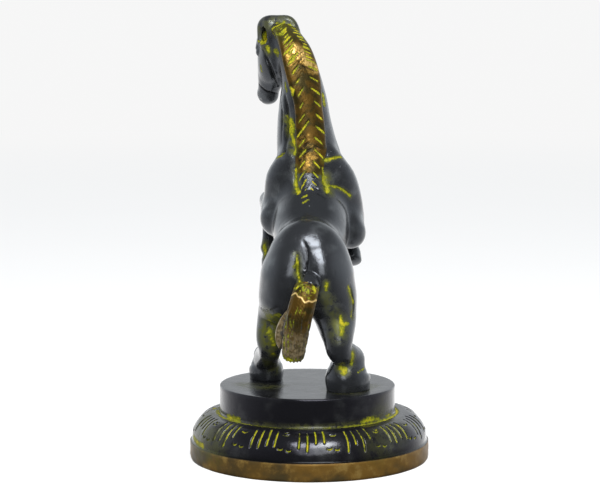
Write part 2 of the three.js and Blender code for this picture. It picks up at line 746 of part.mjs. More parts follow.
// The moulding swells in from the raw band to the foot of the drum, as (radius, height).
const MOULDING = new THREE.CubicBezierCurve(
  new THREE.Vector2(PLINTH_RADIUS - 0.9, BAND_HEIGHT + 0.7),
  new THREE.Vector2(PLINTH_RADIUS - 0.2, BAND_HEIGHT + 7),
  new THREE.Vector2(DRUM_RADIUS + 8, DRUM_FOOT + 0.8),
  new THREE.Vector2(DRUM_RADIUS + 2.6, DRUM_FOOT + 0.4),
);
const MOULDING_STEPS = 6;

// Two turned profiles: the raw band with the moulding, and the drum that stands on them.
const FOOT_PROFILE = [
  [0, 0],
  [PLINTH_RADIUS - 0.4, 0],
  [PLINTH_RADIUS, 0.4],
  [PLINTH_RADIUS, BAND_HEIGHT],
  ...MOULDING.getPoints(MOULDING_STEPS).map((p) => p.toArray()),
  [DRUM_RADIUS + 0.8, DRUM_FOOT],
  [0, DRUM_FOOT],
];
const DRUM_PROFILE = [
  [0, DRUM_FOOT - 2],
  [DRUM_RADIUS, DRUM_FOOT - 2],
  [DRUM_RADIUS, PLINTH_HEIGHT - 0.6],
  [DRUM_RADIUS - 0.6, PLINTH_HEIGHT],
  [0, PLINTH_HEIGHT],
];

function turned(profile) {
  const corners = profile.map((corner) => new THREE.Vector2(...corner));
  return new THREE.LatheGeometry(corners, PLINTH_SIDES).rotateX(Math.PI / 2);
}

// One upright stroke in the moulding: a V-shaped wedge that follows the swell and bows sideways.
const STROKE_STEPS = 3;
const STROKE_WIDTH = 1.5;
const STROKE_DEPTH = 0.9;

function strokeCutter(angle, bow) {
  const points = [];
  for (let n = 0; n <= STROKE_STEPS; n++) {
    const t = 0.16 + (0.72 * n) / STROKE_STEPS;
    const { x: radius, y: height } = MOULDING.getPoint(t);
    const { x: tx, y: ty } = MOULDING.getTangent(t);
    const swing = angle + bow * Math.sin((Math.PI * n) / STROKE_STEPS);
    const put = (out, side) => {
      const r = radius + ty * out;
      const a = swing + side / radius;
      points.push(at(r * Math.cos(a), r * Math.sin(a), height - tx * out));
    };
    put(0.6, -STROKE_WIDTH);
    put(0.6, STROKE_WIDTH);
    put(-STROKE_DEPTH, 0);
  }
  const triangles = [[0, 1, 2], [2, 1, 0].map((c) => c + 3 * STROKE_STEPS)];
  for (let n = 0; n < STROKE_STEPS; n++)
    for (let c = 0; c < 3; c++) {
      const a = 3 * n + c;
      const b = 3 * n + ((c + 1) % 3);
      triangles.push([a, a + 3, b], [b, a + 3, b + 3]);
    }
  return solidOf(geometryOfMesh({ points, triangles: triangles.map((t) => t.reverse()) }));
}

function plinth() {
  let solid = solidOf(turned(FOOT_PROFILE)).add(solidOf(turned(DRUM_PROFILE).translate(DRUM_SHIFT, 0, 0)));
  const spacing = degrees(4.1);
  for (let group = 0; group < MOULDING_GROUPS; group++)
    for (let n = 0; n < STROKES_PER_GROUP; n++) {
      const offset = n - (STROKES_PER_GROUP - 1) / 2;
      const middle = (group / MOULDING_GROUPS) * 2 * Math.PI - Math.PI / 2;
      solid = solid.subtract(strokeCutter(middle + offset * spacing, -Math.sign(offset) * degrees(0.5)));
    }
  const mesh = simplify(meshOf(solid), PLINTH_TRIANGLES);
  const levels = [0, PLINTH_HEIGHT];
  const levelled = (z) => levels.find((level) => Math.abs(level - z) < 0.01) ?? z;
  mesh.points = mesh.points.map(([x, y, z]) => at(x, y, levelled(z)));
  return geometryOfMesh(mesh);
}

function named(name, geometry, finish) {
  const mesh = new THREE.Mesh(geometry, new THREE.MeshStandardMaterial(finish));
  mesh.name = name;
  return mesh;
}

const ornament = new THREE.Group();
ornament.add(named("plinth", plinth(), BLACK_PAINT));
ornament.add(named("horse", horse(), BLACK_PAINT));
export default ornament;
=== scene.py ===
import math

import bpy
import numpy as np
from mathutils import Matrix, Vector
from mathutils.bvhtree import BVHTree


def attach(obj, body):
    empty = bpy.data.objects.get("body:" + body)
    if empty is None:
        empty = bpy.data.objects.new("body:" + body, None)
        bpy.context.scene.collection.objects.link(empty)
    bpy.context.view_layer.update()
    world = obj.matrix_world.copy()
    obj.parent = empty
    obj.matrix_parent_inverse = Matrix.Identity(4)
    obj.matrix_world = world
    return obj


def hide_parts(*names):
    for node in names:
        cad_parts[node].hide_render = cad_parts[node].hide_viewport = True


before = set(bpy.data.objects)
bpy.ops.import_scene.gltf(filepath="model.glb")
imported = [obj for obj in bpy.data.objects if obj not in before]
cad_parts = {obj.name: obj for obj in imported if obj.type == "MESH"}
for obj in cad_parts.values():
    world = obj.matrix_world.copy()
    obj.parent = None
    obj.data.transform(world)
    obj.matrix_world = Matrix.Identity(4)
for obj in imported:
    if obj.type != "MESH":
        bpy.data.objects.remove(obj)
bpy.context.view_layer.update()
MM = 0.001

# The camera, as it stood for the photograph: behind the horse, a little above its back
CAMERA_PLACE = Vector((-0.0043, -0.760, 0.1714))
CAMERA_PITCH = math.radians(5.73)
CAMERA_LENS = 100.3
SENSOR_WIDTH = 36.0
PHOTO_WIDTH = 600
PHOTO_HEIGHT = 500

# Driving sizes of the plinth, as in the solid
PLINTH_RADIUS = 55.0
PLINTH_HEIGHT = 33.5
BAND_HEIGHT = 8.2
DRUM_RADIUS = 40.3
DRUM_FOOT = 20.6
MOULDING_GROUPS = 15
STROKES_PER_GROUP = 4
STROKE_SPACING = math.radians(4.1)

SOLE = PLINTH_HEIGHT
SOLE_SINK = 0.4
SKIN_STEP = 0.84
SKIN_LOW = np.array([-31.0, -46.0, SOLE - 3.2])
SKIN_HIGH = np.array([32.0, 70.0, 206.5])
LEAST_SLOPE = 0.05

# The horse leans a little to its left, and it and the drum stand a little left of the plinth's middle.
LEAN = 0.0222
HORSE_SHIFT = -0.65
DRUM_SHIFT = -0.9


def place_camera():
    camera = bpy.data.objects.new("camera", bpy.data.cameras.new("camera"))
    bpy.context.scene.collection.objects.link(camera)
    look = Matrix.Rotation(math.pi / 2 - CAMERA_PITCH, 4, "X")
    camera.matrix_world = Matrix.Translation(CAMERA_PLACE) @ look
    camera.data.lens = CAMERA_LENS
    camera.data.sensor_width = SENSOR_WIDTH
    bpy.context.scene.camera = camera
    return camera


camera = place_camera()


def between(values, count):
    """Smooth values between the stations of a limb, by Catmull-Rom."""
    rows = [values[0], *values, values[-1]]
    out = []
    for i in range(len(values) - 1):
        p0, p1, p2, p3 = rows[i : i + 4]
        for t in np.arange(count) / count:
            curve = p0 - 2.5 * p1 + 2 * p2 - 0.5 * p3
            out.append(p1 + t * ((p2 - p0) / 2 + t * (curve + t * (3 * (p1 - p2) + p3 - p0) / 2)))
    return np.array([*out, values[-1]])


def unit(rows):
    return rows / np.linalg.norm(rows, axis=-1, keepdims=True)


class Loft:
    """A limb through stations (x, y, z, half width, half depth, turn). `relief` carves it, given the place
    along it, across it and around it. Turn, in degrees, swings the width axis from +X towards +Y."""

    SAMPLES = 4

    def __init__(self, stations, blend=2.0, relief=None, cap=1.0, cut=False):
        full = []
        for station in stations:
            row = list(station)
            if len(row) == 4:
                row.append(row[3])
            if len(row) == 5:
                row.append(0.0)
            full.append(row)
        knots = between(np.array(full, float), self.SAMPLES)
        self.blend, self.relief, self.cap, self.cut = blend, relief, cap, cut
        self.knots, self.half = knots[:, :3], knots[:, 3:5]
        ahead = np.vstack([self.knots[1:], self.knots[-1:]])
        behind = np.vstack([self.knots[:1], self.knots[:-1]])
        self.run = unit(ahead - behind)
        turn = np.radians(knots[:, 5])
        across = np.stack([np.cos(turn), np.sin(turn), 0 * turn], 1)
        self.wide = unit(across - (across * self.run).sum(1, keepdims=True) * self.run)
        self.deep = np.cross(self.wide, self.run)
        self.step = self.knots[1:] - self.knots[:-1]
        reach = self.half.max() + 0.5
        self.low = self.knots.min(0) - reach
        self.high = self.knots.max(0) + reach

    def locate(self, points):
        start = self.knots[:-1]
        passed = points @ self.run.T - (self.knots * self.run).sum(1)
        toward = points @ self.step.T - (start * self.step).sum(1)
        square = (points**2).sum(1)[:, None] - 2 * points @ self.knots.T + (self.knots**2).sum(1)
        gap = passed[:, :-1] - passed[:, 1:]
        t = passed[:, :-1] / np.where(gap == 0, 1, gap)
        inside = (passed[:, :-1] >= 0) & (passed[:, 1:] <= 0)
        far = square[:, :-1] - 2 * t * toward + t * t * (self.step**2).sum(1)
        far = np.where(inside, far, np.inf)
        part = far.argmin(1)
        rows = np.arange(len(points))
        least = far[rows, part]
        place = np.where(np.isfinite(least), t[rows, part], 0.0)
        lost = ~np.isfinite(least)
        nearest = square[lost].argmin(1)
        part[lost] = np.minimum(nearest, len(start) - 1)
        place[lost] = np.where(nearest == len(start), 1.0, 0.0)
        least[lost] = square[lost].min(1)
        before = (passed[:, 0] < 0) & (square[:, 0] <= least)
        part[before], place[before] = 0, 0.0
        least = np.where(before, square[:, 0], least)
        after = (passed[:, -1] > 0) & (square[:, -1] <= least)
        part[after], place[after] = len(start) - 1, 1.0
        return part, place

    def measure(self, points):
        """Distance, place along in stations, and the places across and around."""
        part, place = self.locate(points)
        t = place[:, None]
        offset = points - self.knots[part] - t * self.step[part]
        half = self.half[part] + t * (self.half[part + 1] - self.half[part])

        def along(axis):
            a = (offset * axis[part]).sum(1)
            b = (offset * axis[part + 1]).sum(1)
            return a + (b - a) * place

        end_size = half.min(1) * self.cap
        last = len(self.step) - 1
        beyond = ((part == 0) & (place == 0)) | ((part == last) & (place == 1))
        u = along(self.wide) / half[:, 0]
        v = along(self.deep) / half[:, 1]
        w = np.where(beyond, along(self.run) / end_size, 0.0)
        near = np.maximum(np.sqrt(u * u + v * v + w * w), 1e-6)
        slope = np.sqrt((u / half[:, 0]) ** 2 + (v / half[:, 1]) ** 2 + (w / end_size) ** 2)
        d = near * (near - 1) / np.maximum(slope, 1e-6)
        d = np.where(near < 1e-5, -end_size, d)
        return d, (part + place) / self.SAMPLES, u, v

    def distance(self, points):
        d, place, u, v = self.measure(points)
        if self.relief is None:
            return d
        return np.where(np.abs(d) < 3, d + self.relief(place, u, v), d)


class Egg:
    """An ellipsoid with three half sizes along three square axes."""

    def __init__(self, centre, halves, axes=None, blend=2.0, cut=False):
        self.centre, self.halves = np.array(centre, float), np.array(halves, float)
        self.axes = np.eye(3) if axes is None else np.array(axes)
        self.blend, self.cut = blend, cut
        self.low = self.centre - self.halves.max()
        self.high = self.centre + self.halves.max()

    def distance(self, points):
        u = (points - self.centre) @ self.axes.T / self.halves
        near = np.maximum(np.linalg.norm(u, axis=1), 1e-6)
        return near * (near - 1) / np.maximum(np.linalg.norm(u / self.halves, axis=1), 1e-6)


def fillet(a, b, k):
    """Joins two distances with a fillet about k wide."""
    return np.minimum(a, b) - np.maximum(k - np.abs(a - b), 0) ** 2 / (4 * k)


FAR_OFF = 1e3


def field_at(forms, points, margin=7.0):
    """Distance to all the forms together. A form is left out where it is further off than the margin."""
    d = np.full(len(points), FAR_OFF)
    for form in forms:
        reach = margin + form.blend
        near = ((points > form.low - reach) & (points < form.high + reach)).all(1)
        if not near.any():
            continue
        e = form.distance(points[near])
        d[near] = -fillet(-d[near], e, form.blend) if form.cut else fillet(d[near], e, form.blend)
    return np.maximum(d, SOLE - SOLE_SINK - points[:, 2])


def in_batches(work, points, size=60000):
    return np.concatenate([work(points[i : i + size]) for i in range(0, len(points), size)])


# Corners of a grid cell, its edges, and the patterns of filled corners that give one clean patch of skin
CORNERS = np.array([[c & 1, (c >> 1) & 1, c >> 2] for c in range(8)])
EDGES = np.array([(a, a | bit) for a in range(8) for bit in (1, 2, 4) if not a & bit])


def joined_corners(mask):
    seen = mask & -mask
    for _ in range(8):
        for c in range(8):
            if seen >> c & 1:
                for bit in (1, 2, 4):
                    seen |= mask & (1 << (c ^ bit))
    return seen == mask


SOUND = np.array([joined_corners(m) and joined_corners(255 ^ m) for m in range(256)])


def grid_values(forms, low, high, step, block=6):
    """Distances on a grid, worked out only in the blocks that the skin passes through."""
    count = (np.ceil((high - low) / step / block).astype(int)) * block + 1
    blocks = (count - 1) // block
    index = np.stack(np.meshgrid(*[np.arange(n) for n in blocks], indexing="ij"), -1).reshape(-1, 3)
    rough = in_batches(lambda p: field_at(forms, p, 12.0), low + (index + 0.5) * block * step)
    value = np.repeat(rough.reshape(blocks), block, 0)
    value = np.repeat(np.repeat(value, block, 1), block, 2)
    value = np.pad(value, ((0, 1),) * 3, mode="edge")
    wanted = np.zeros(count, bool)
    for i, j, k in index[np.abs(rough) < block * step * 1.5] * block:
        wanted[i : i + block + 1, j : j + block + 1, k : k + block + 1] = True
    nodes = np.argwhere(wanted)
    value[wanted] = in_batches(lambda p: field_at(forms, p), low + nodes * step)
    return value


def mixed_cells(value):
    full = value < 0
    mask = np.zeros(np.array(value.shape) - 1, np.uint8)
    n = mask.shape
    for c, (i, j, k) in enumerate(CORNERS):
        mask |= full[i : i + n[0], j : j + n[1], k : k + n[2]].astype(np.uint8) << c
    return mask


UNTANGLE_PASSES = 12
FILLED = -0.02


def skin_of(forms, low, high, step):
    """Surface nets: one vertex in each cell that the skin crosses, two triangles across each crossed edge."""
    value = grid_values(forms, low, high, step)
    for _ in range(UNTANGLE_PASSES):
        mask = mixed_cells(value)
        cells = np.argwhere(~SOUND[mask])
        if not len(cells):
            break
        places = cells[:, None] + CORNERS
        around = value[tuple(places.transpose(2, 0, 1))]
        pick = np.where(around >= 0, around, np.inf).argmin(1)
        fill = places[np.arange(len(cells)), pick]
        value[tuple(fill.T)] = FILLED
    crossed = (mask > 0) & (mask < 255)
    cells = np.argwhere(crossed)
    at_corner = value[tuple((cells[:, None] + CORNERS).transpose(2, 0, 1))]
    a, b = at_corner[:, EDGES[:, 0]], at_corner[:, EDGES[:, 1]]
    cut = (a < 0) != (b < 0)
    t = np.where(cut, a / np.where(a == b, 1, a - b), 0)[..., None]
    spots = CORNERS[EDGES[:, 0]] * (1 - t) + CORNERS[EDGES[:, 1]] * t
    middle = (spots * cut[..., None]).sum(1) / cut.sum(1)[:, None]
    points = low + (cells + middle) * step
    number = np.full(mask.shape, -1, np.int64)
    number[tuple(cells.T)] = np.arange(len(cells))
    triangles = []
    full = value < 0
    for axis in range(3):
        ahead = np.take(full, range(1, full.shape[axis]), axis)
        here = np.take(full, range(full.shape[axis] - 1), axis)
        edges = np.argwhere(here != ahead)
        out = here[tuple(edges.T)]
        u, v = np.eye(3, dtype=int)[(axis + 1) % 3], np.eye(3, dtype=int)[(axis + 2) % 3]
        quad = np.stack([number[tuple((edges - shift).T)] for shift in (0 * u, u, u + v, v)], 1)
        quad[~out] = quad[~out][:, ::-1]
        triangles += [quad[:, [0, 1, 2]], quad[:, [0, 2, 3]]]
    return points, np.concatenate(triangles)


def slope_at(forms, points, nudge=0.04):
    """The field's value and slope, from four readings at the corners of a small tetrahedron."""
    turns = np.array([[1, -1, -1], [-1, -1, 1], [-1, 1, -1], [1, 1, 1]], float)
    readings = [in_batches(lambda p: field_at(forms, p), points + turn * nudge) for turn in turns]
    slope = sum(turn * reading[:, None] for turn, reading in zip(turns, readings)) / (4 * nudge)
    return sum(readings) / 4, slope


def settle(forms, points, passes=2, most=0.4):
    """Moves points onto the skin along the field's slope."""
    for _ in range(passes):
        d, slope = slope_at(forms, points)
        steep = np.maximum((slope**2).sum(1), LEAST_SLOPE)
        points = points - slope * (np.clip(d, -most, most) / steep)[:, None]
    return points


def refine(points, triangles, wanted):
    """Halves every edge whose middle is wanted, and splits the triangles on it, so that no gap opens."""
    sides = np.sort(triangles[:, [[0, 1], [1, 2], [2, 0]]].reshape(-1, 2), 1)
    edges, which = np.unique(sides, axis=0, return_inverse=True)
    which = which.reshape(-1, 3)
    middles = points[edges].mean(1)
    chosen = wanted(middles)
    number = np.where(chosen, len(points) + np.cumsum(chosen) - 1, -1)
    m = number[which]
    count = (m >= 0).sum(1)
    out = [triangles[count == 0]]
    for turn in range(3):
        a, b, c = (triangles[:, (turn + n) % 3] for n in range(3))
        ab, bc, ca = (m[:, (turn + n) % 3] for n in range(3))
        one = (count == 1) & (ab >= 0)
        out += [np.stack([a, ab, c], 1)[one], np.stack([ab, b, c], 1)[one]]
        two = (count == 2) & (ca < 0)
        out += [np.stack([a, ab, c], 1)[two], np.stack([ab, b, bc], 1)[two], np.stack([ab, bc, c], 1)[two]]
    a, b, c = triangles[count == 3].T
    ab, bc, ca = m[count == 3].T
    out += [np.stack(t, 1) for t in ((a, ab, ca), (ab, b, bc), (ca, bc, c), (ab, bc, ca))]
    return np.vstack([points, middles[chosen]]), np.concatenate(out)


# The trunk, back to front. It rises from the thighs, so the stations lean forward less than the back does.
TRUNK = [
    [1.1, -16, 88.4, 14.4, 12.4],
    [1.1, -11, 90.8, 15.2, 15.4],
    [1.4, -3, 93.6, 15.6, 15.4],
    [2, 8, 96.6, 15.4, 14.6],
    [2.7, 20, 101, 17.6, 18.6],
    [3.2, 32, 107, 18, 19.6],
    [3.6, 43, 112, 15.5, 16.5],
]


# The haunches are rounded over the loin. Of the two buttocks the right is the fuller.
BUTTOCK_LEFT = [
    [-5.6, -14.6, 92, 7.6, 10],
    [-8.4, -17, 85.5, 9.8, 13],
    [-9.6, -15, 76, 10.6, 13.6],
]
BUTTOCK_RIGHT = [
    [4.8, -15.6, 94, 9.2, 11.8],
    [6.8, -17.6, 86.5, 11, 14.2],
    [10.4, -15.4, 77, 11, 13.8],
]


def shoulder(side, top, middle):
    """It runs down from the root of the neck to the upper arm. `top` and `middle` say how far out it lies."""
    return [
        [3.2 + side * 8.6, 31, 134.5, 6.2],
        [3.4 + side * top, 33, 126.5, 8.6],
        [3.6 + side * middle, 37, 116.5, 9.6],
        [4 + side * (middle + 1), 41, 108, 9.2],
    ]


def trunk_forms():
    haunches = Egg([1.6, -13.5, 89.2], [18.6, 15.2, 21.4], blend=1.2)
    forms = [Loft(TRUNK, 1), haunches, Loft(BUTTOCK_LEFT, 6), Loft(BUTTOCK_RIGHT, 2.4)]
    for side, top, middle in ((-1, 12.2, 13), (1, 12.4, 14.4)):
        breast = Egg([3.6 + side * 7, 49, 111], [8.4, 8.4, 10], blend=4)
        forms += [Loft(shoulder(side, top, middle), 5), breast]
    return forms


# A hind leg: thigh, gaskin, hock and cannon
HIND_RIGHT = [
    [9.6, -13, 84, 12, 15],
    [11.8, -13, 73, 10.8, 13.4],
    [13.2, -16, 64.5, 9.2, 10.8],
    [13.8, -21.5, 57.5, 7, 7.8],
    [14.4, -22.6, 52.6, 5.8, 6.4],
    [17.6, -18, 49.6, 6, 6],
    [19.2, -14.6, 46.4, 6.4, 6.6],
]
HIND_LEFT = [
    [-7.8, -13, 84, 11.8, 15],
    [-10.8, -9.5, 73, 10.6, 12.8],
    [-14.2, -6, 64, 8.4, 9.8],
    [-16.6, -8.5, 56, 6.6, 7],
    [-17, -6.4, 51, 5.4, 5.8],
    [-17.8, -0.6, 47.6, 5.2, 5.6],
    [-19, 7.4, 44.2, 5.8, 6.4],
]
CORONET_DEPTH = 0.25


def groove(value, centre, width):
    """A rounded groove about one line: 1 in its middle, 0 at its edges."""
    return np.maximum(0, 1 - ((value - centre) / width) ** 2)


def hoof_forms(x, y, turn, rise, size):
    """A foot that swells below the pastern and draws in to the ground, with the heel as a block behind."""
    ahead = np.array([-math.sin(math.radians(turn)), math.cos(math.radians(turn)), 0])

    def ring(reach, height, across, deep):
        centre = np.array([x, y, SOLE + height * rise]) + ahead * reach * size
        return [*centre, across * size, deep * size, turn]

    def coronet(place, u, v):
        return CORONET_DEPTH * groove(place, 1.5, 0.25)

    wall = [
        ring(1.8, 13.4, 6.2, 6.2),
        ring(0.6, 10.4, 7.8, 8.4),
        ring(-0.2, 7.2, 9.2, 10.2),
        ring(0, 4, 9.5, 10.8),
        ring(0.4, 1, 9, 10.4),
        ring(0.8, -4, 8.4, 9.8),
    ]
    heel = [
        ring(-6.6, 9.4, 4.4, 3),
        ring(-7.2, 6, 6.4, 4.2),
        ring(-7, 2, 6.2, 4.2),
        ring(-6.8, -3, 5.6, 3.8),
    ]
    return [Loft(wall, 1.5, coronet), Loft(heel, 1.2)]


# A foreleg: upper arm and elbow, raised forearm, bent knee, and the cannon and hoof hanging from it
FORE_RIGHT = {
    "arm": (18.4, 40, 112),
    "elbow": (21.6, 31, 100.6),
    "knee": (22.6, 58, 116),
    "fetlock": (22.8, 54, 94.4),
    "hoof": (22.6, 48.2, 85.4),
}
FORE_LEFT = {
    "arm": (-11.4, 40, 112),
    "elbow": (-13.4, 31, 107),
    "knee": (-16.6, 58, 113.4),
    "fetlock": (-17.6, 54, 91),
    "hoof": (-16.4, 49, 82.4),
}


def mix(a, b, t):
    return a + (b - a) * t


def foreleg_forms(arm, elbow, knee, fetlock, hoof):
    arm, elbow, knee, fetlock, hoof = (np.array(p, float) for p in (arm, elbow, knee, fetlock, hoof))
    towards = unit(hoof - fetlock)

    def coronet(place, u, v):
        return CORONET_DEPTH * groove(place, 1.75, 0.2)

    upper_arm = [[*arm, 8, 10], [*elbow, 7, 8.2]]
    forearm = [[*elbow, 6.8, 7.6], [*mix(elbow, knee, 0.55), 5.6, 6.6], [*knee, 5, 5.4]]
    cannon = [
        [*knee, 4.6, 5],
        [*mix(knee, fetlock, 0.3), 3.7, 4],
        [*mix(knee, fetlock, 0.75), 3.3, 3.5],
        [*fetlock, 4, 4.4],
    ]
    foot = [
        [*fetlock, 3.7, 3.8],
        [*(fetlock + towards * 3.4), 3.5, 3.7],
        [*(fetlock + towards * 6), 4.4, 4.7],
        [*hoof, 4.9, 5.3],
    ]
    return [Loft(upper_arm, 3), Loft(forearm, 2.5), Loft(cannon, 1.5), Loft(foot, 1, coronet, cap=0.4)]


NECK = [
    [3.4, 36, 119, 15.6, 17.5, 0],
    [3.2, 39, 132, 15.8, 16.5, 4],
    [1.8, 40.5, 143, 14.2, 14.6, 9],
    [1, 40.5, 153, 12.7, 13.4, 14],
    [0.8, 40.5, 163, 11.1, 12.6, 19],
    [0, 41, 172, 9.2, 11.6, 23],
    [-2.4, 42, 181, 8.2, 10.8, 27],
    [-6.2, 44.5, 189.5, 7.4, 9.4, 30],
    [-9.4, 47, 195, 6.4, 7.4, 30],
]

# The head hangs from the poll, turned left, with the muzzle tucked towards the chest.
HEAD_TURN = 30
POLL = np.array([-10.6, 48, 194])
MUZZLE = np.array([-16.2, 61, 166])
HEAD_DOWN = unit(MUZZLE - POLL)
FACING = [-math.sin(math.radians(HEAD_TURN)), math.cos(math.radians(HEAD_TURN)), 0]
HEAD_RIGHT = unit(np.cross(HEAD_DOWN, FACING))
HEAD_FRONT = np.cross(HEAD_RIGHT, HEAD_DOWN)
HEAD_AXES = [HEAD_RIGHT, HEAD_FRONT, HEAD_DOWN]
UP = np.array([0, 0, 1.0])


def head(right, front, down):
    return POLL + HEAD_RIGHT * right + HEAD_FRONT * front + HEAD_DOWN * down


def head_forms():
    rows = [
        [0, -1, 7.4, 7],
        [-0.4, 5, 8.4, 8.2],
        [-0.8, 11, 8.4, 9],
        [-0.6, 17, 7.4, 8.6],
        [-0.1, 23, 6.2, 7.4],
        [0.2, 28, 5.2, 6],
        [0.2, 32, 5, 5],
    ]
    skull = [[*head(0, front, down), across, deep, HEAD_TURN] for front, down, across, deep in rows]
    forms = [Loft(skull, 2), Egg(head(0, -2.6, 31.4), [3.6, 3.4, 3.6], HEAD_AXES, 1.2)]
    for s in (-1, 1):
        brow = [[*head(s * 6, 4.6, 4.6), 2.2], [*head(s * 7.2, 3.6, 8.2), 1.7]]
        upper_lid = [
            [*head(s * 9.2, 4.4, 7.6), 0.35],
            [*head(s * 9.6, 2.2, 7.1), 0.4],
            [*head(s * 9.2, 0.4, 8.2), 0.35],
        ]
        lower_lid = [
            [*head(s * 9.2, 4.1, 11.6), 0.35],
            [*head(s * 9.4, 2.2, 12.3), 0.4],
            [*head(s * 9.1, 0.5, 11.2), 0.35],
        ]
        jowl = Egg(head(s * 4.2, -4, 12), [3.6, 6, 9.5], HEAD_AXES, 3)
        eye = Egg(head(s * 7.7, 2.1, 9.6), [1.5, 1.7, 2.1], HEAD_AXES, 0.5)
        nose_wing = Egg(head(s * 2.9, 2.1, 32.2), [1.7, 2, 2.3], HEAD_AXES, 1)
        nostril = Egg(head(s * 4, 3, 33.2), [0.8, 0.8, 1.4], HEAD_AXES, 0.4, cut=True)
        forms += [jowl, Loft(brow, 1.2), eye, nose_wing, nostril]
        forms += [Loft(lid, 0.4, cut=True) for lid in (upper_lid, lower_lid)]
    mouth = [[*head(-6, -1.6, 33), 0.7, 0.5], [*head(0, 0.6, 36.4), 0.7, 0.5], [*head(6, -1.6, 33), 0.7, 0.5]]
    forms.append(Loft(mouth, 0.6, cut=True))
    return forms


# The ears are pinned back and meet in one rounded ridge over the poll, from one ear's root to the other's.
EAR_RIDGE = [
    [-19.2, 48.5, 190.5, 1.3],
    [-19, 48, 194.6, 1.6],
    [-18, 47, 198.4, 2.4],
    [-15.4, 46, 200.2, 2.9],
    [-10.6, 45, 200.6, 2.7],
    [-5.8, 44, 200.4, 2.7],
    [-3.4, 43.4, 198.6, 2.3],
    [-2.2, 43, 195.8, 2.2],
]
EAR_HOLLOW = [-16.2, 44.2, 193.6]


def ear_forms():
    tuft = [[*head(0, -1.5, 0), 7.4, 4.6, HEAD_TURN], [*(head(0, -1, -2) + UP * 3.6), 7.6, 3, HEAD_TURN]]
    forms = [Loft(tuft, 1.2), Loft(EAR_RIDGE, 1)]
    for s in (-1, 1):
        root = head(s * 6.6, -1.6, 5)
        tip = head(s * 5.6, -0.4, -1) + UP * 5.2
        leaf = [
            [*root, 2.6, 3.4, HEAD_TURN],
            [*mix(root, tip, 0.5), 3.2, 4.2, HEAD_TURN],
            [*tip, 2.6, 3, HEAD_TURN],
        ]
        forms.append(Loft(leaf, 1))
        ahead = HEAD_FRONT * 3.4
        hollow = [[*(root + ahead), 1.5, 1.6, HEAD_TURN], [*(tip + ahead - UP * 0.6), 1, 1.2, HEAD_TURN]]
        forms.append(Loft(hollow, 0.6, cut=True))
    forms.append(Egg(EAR_HOLLOW, [3.2, 2.4, 4.6], blend=1.2, cut=True))
    return forms


# The mane lies along the crest as a thick band, cut with pairs of strokes that fall outwards.
MANE = [
    [-8.8, 43.6, 196.6, 5.4, 3, 30],
    [-6.2, 39.4, 194, 6.4, 3.4, 30],
    [-2.8, 34.8, 188, 8, 3.4, 28],
    [-0.4, 31.6, 180, 8.6, 3.2, 24],
    [1.6, 29.6, 171, 8.2, 3.2, 20],
    [3, 28.4, 161, 6.8, 3.2, 15],
    [3.7, 27.2, 150, 7.1, 3, 10],
    [3.8, 25.4, 139, 7, 3, 6],
    [2.8, 22.6, 129, 6, 3, 3],
    [2.6, 19.4, 121.5, 4, 2.2, 0],
    [2.6, 17.4, 117.5, 1.6, 1.2, 0],
]
LOCKS_PER_STATION = 1.9
LOCK_DEPTH = 0.6
HAIRS_PER_STATION = 4.6
HAIR_DEPTH = 0.24
MANE_END = 8.1

# How far the strokes fall towards the mane's edges on each side, and how much less they do at the crown
FALL_LEFT = 0.85
FALL_RIGHT = 0.5
CROWN_LEFT = 0.35
CROWN_RIGHT = 0.4


def scatter(n, seed):
    """A repeatable number from 0 to 1 for each whole number."""
    value = np.sin(n * 12.9898 + seed * 78.233) * 43758.5453
    return value - np.floor(value)


def wave(phase):
    """A sawtooth that is 0 on each whole number and 1 half way between."""
    return np.abs(phase - np.round(phase)) * 2


def mane_strokes(place, u, density, width, seed):
    """Strokes that fall outwards from the middle of the mane, each with a length of its own."""
    side = np.abs(u)
    crown = np.clip((4.2 - place) / 3, 0, 1)
    fall = place - side * np.where(u < 0, FALL_LEFT - CROWN_LEFT * crown, FALL_RIGHT - CROWN_RIGHT * crown)
    phase = fall * density + np.where(u < 0, 0.35, 0)
    number = np.round(phase) * 2 + (u > 0)
    start = 0.06 + 0.3 * scatter(number, seed)
    end = 1 - 0.26 * scatter(number, seed + 1)
    along = np.clip((side - start) * 7, 0, 1) * np.clip((end - side) * 7, 0, 1)
    depth = 0.55 + 0.45 * scatter(number, seed + 2)
    return np.maximum(0, 1 - wave(phase) / (width * density)) * along * depth


def mane_relief(place, u, v):
    lock = mane_strokes(place, u, LOCKS_PER_STATION, 0.17, 1)
    dense = 0.45 + 0.55 * np.clip((3.4 - place) * 2, 0, 1)
    hair = mane_strokes(place, u, HAIRS_PER_STATION, 0.13, 4)
    return (LOCK_DEPTH * lock + HAIR_DEPTH * hair * dense) * ramp(place, MANE_END + 0.4, MANE_END)


# The short tail hangs clear of the hocks, grooved along its length, and ends square.
TAIL = [
    [1.4, -24, 86.5, 4.6, 4],
    [1.1, -31.5, 84, 5.3, 4.2],
    [-0.4, -37, 79.4, 5.6, 4.2],
    [-2.6, -39, 72, 5.8, 4],
    [-4.5, -39, 64, 5.7, 3.9],
    [-5.9, -38.4, 55, 5.3, 3.8],
    [-6.2, -37.8, 51.4, 4.8, 3.4],
]
TAIL_GROOVES = 7
CUFF_END = 2.35


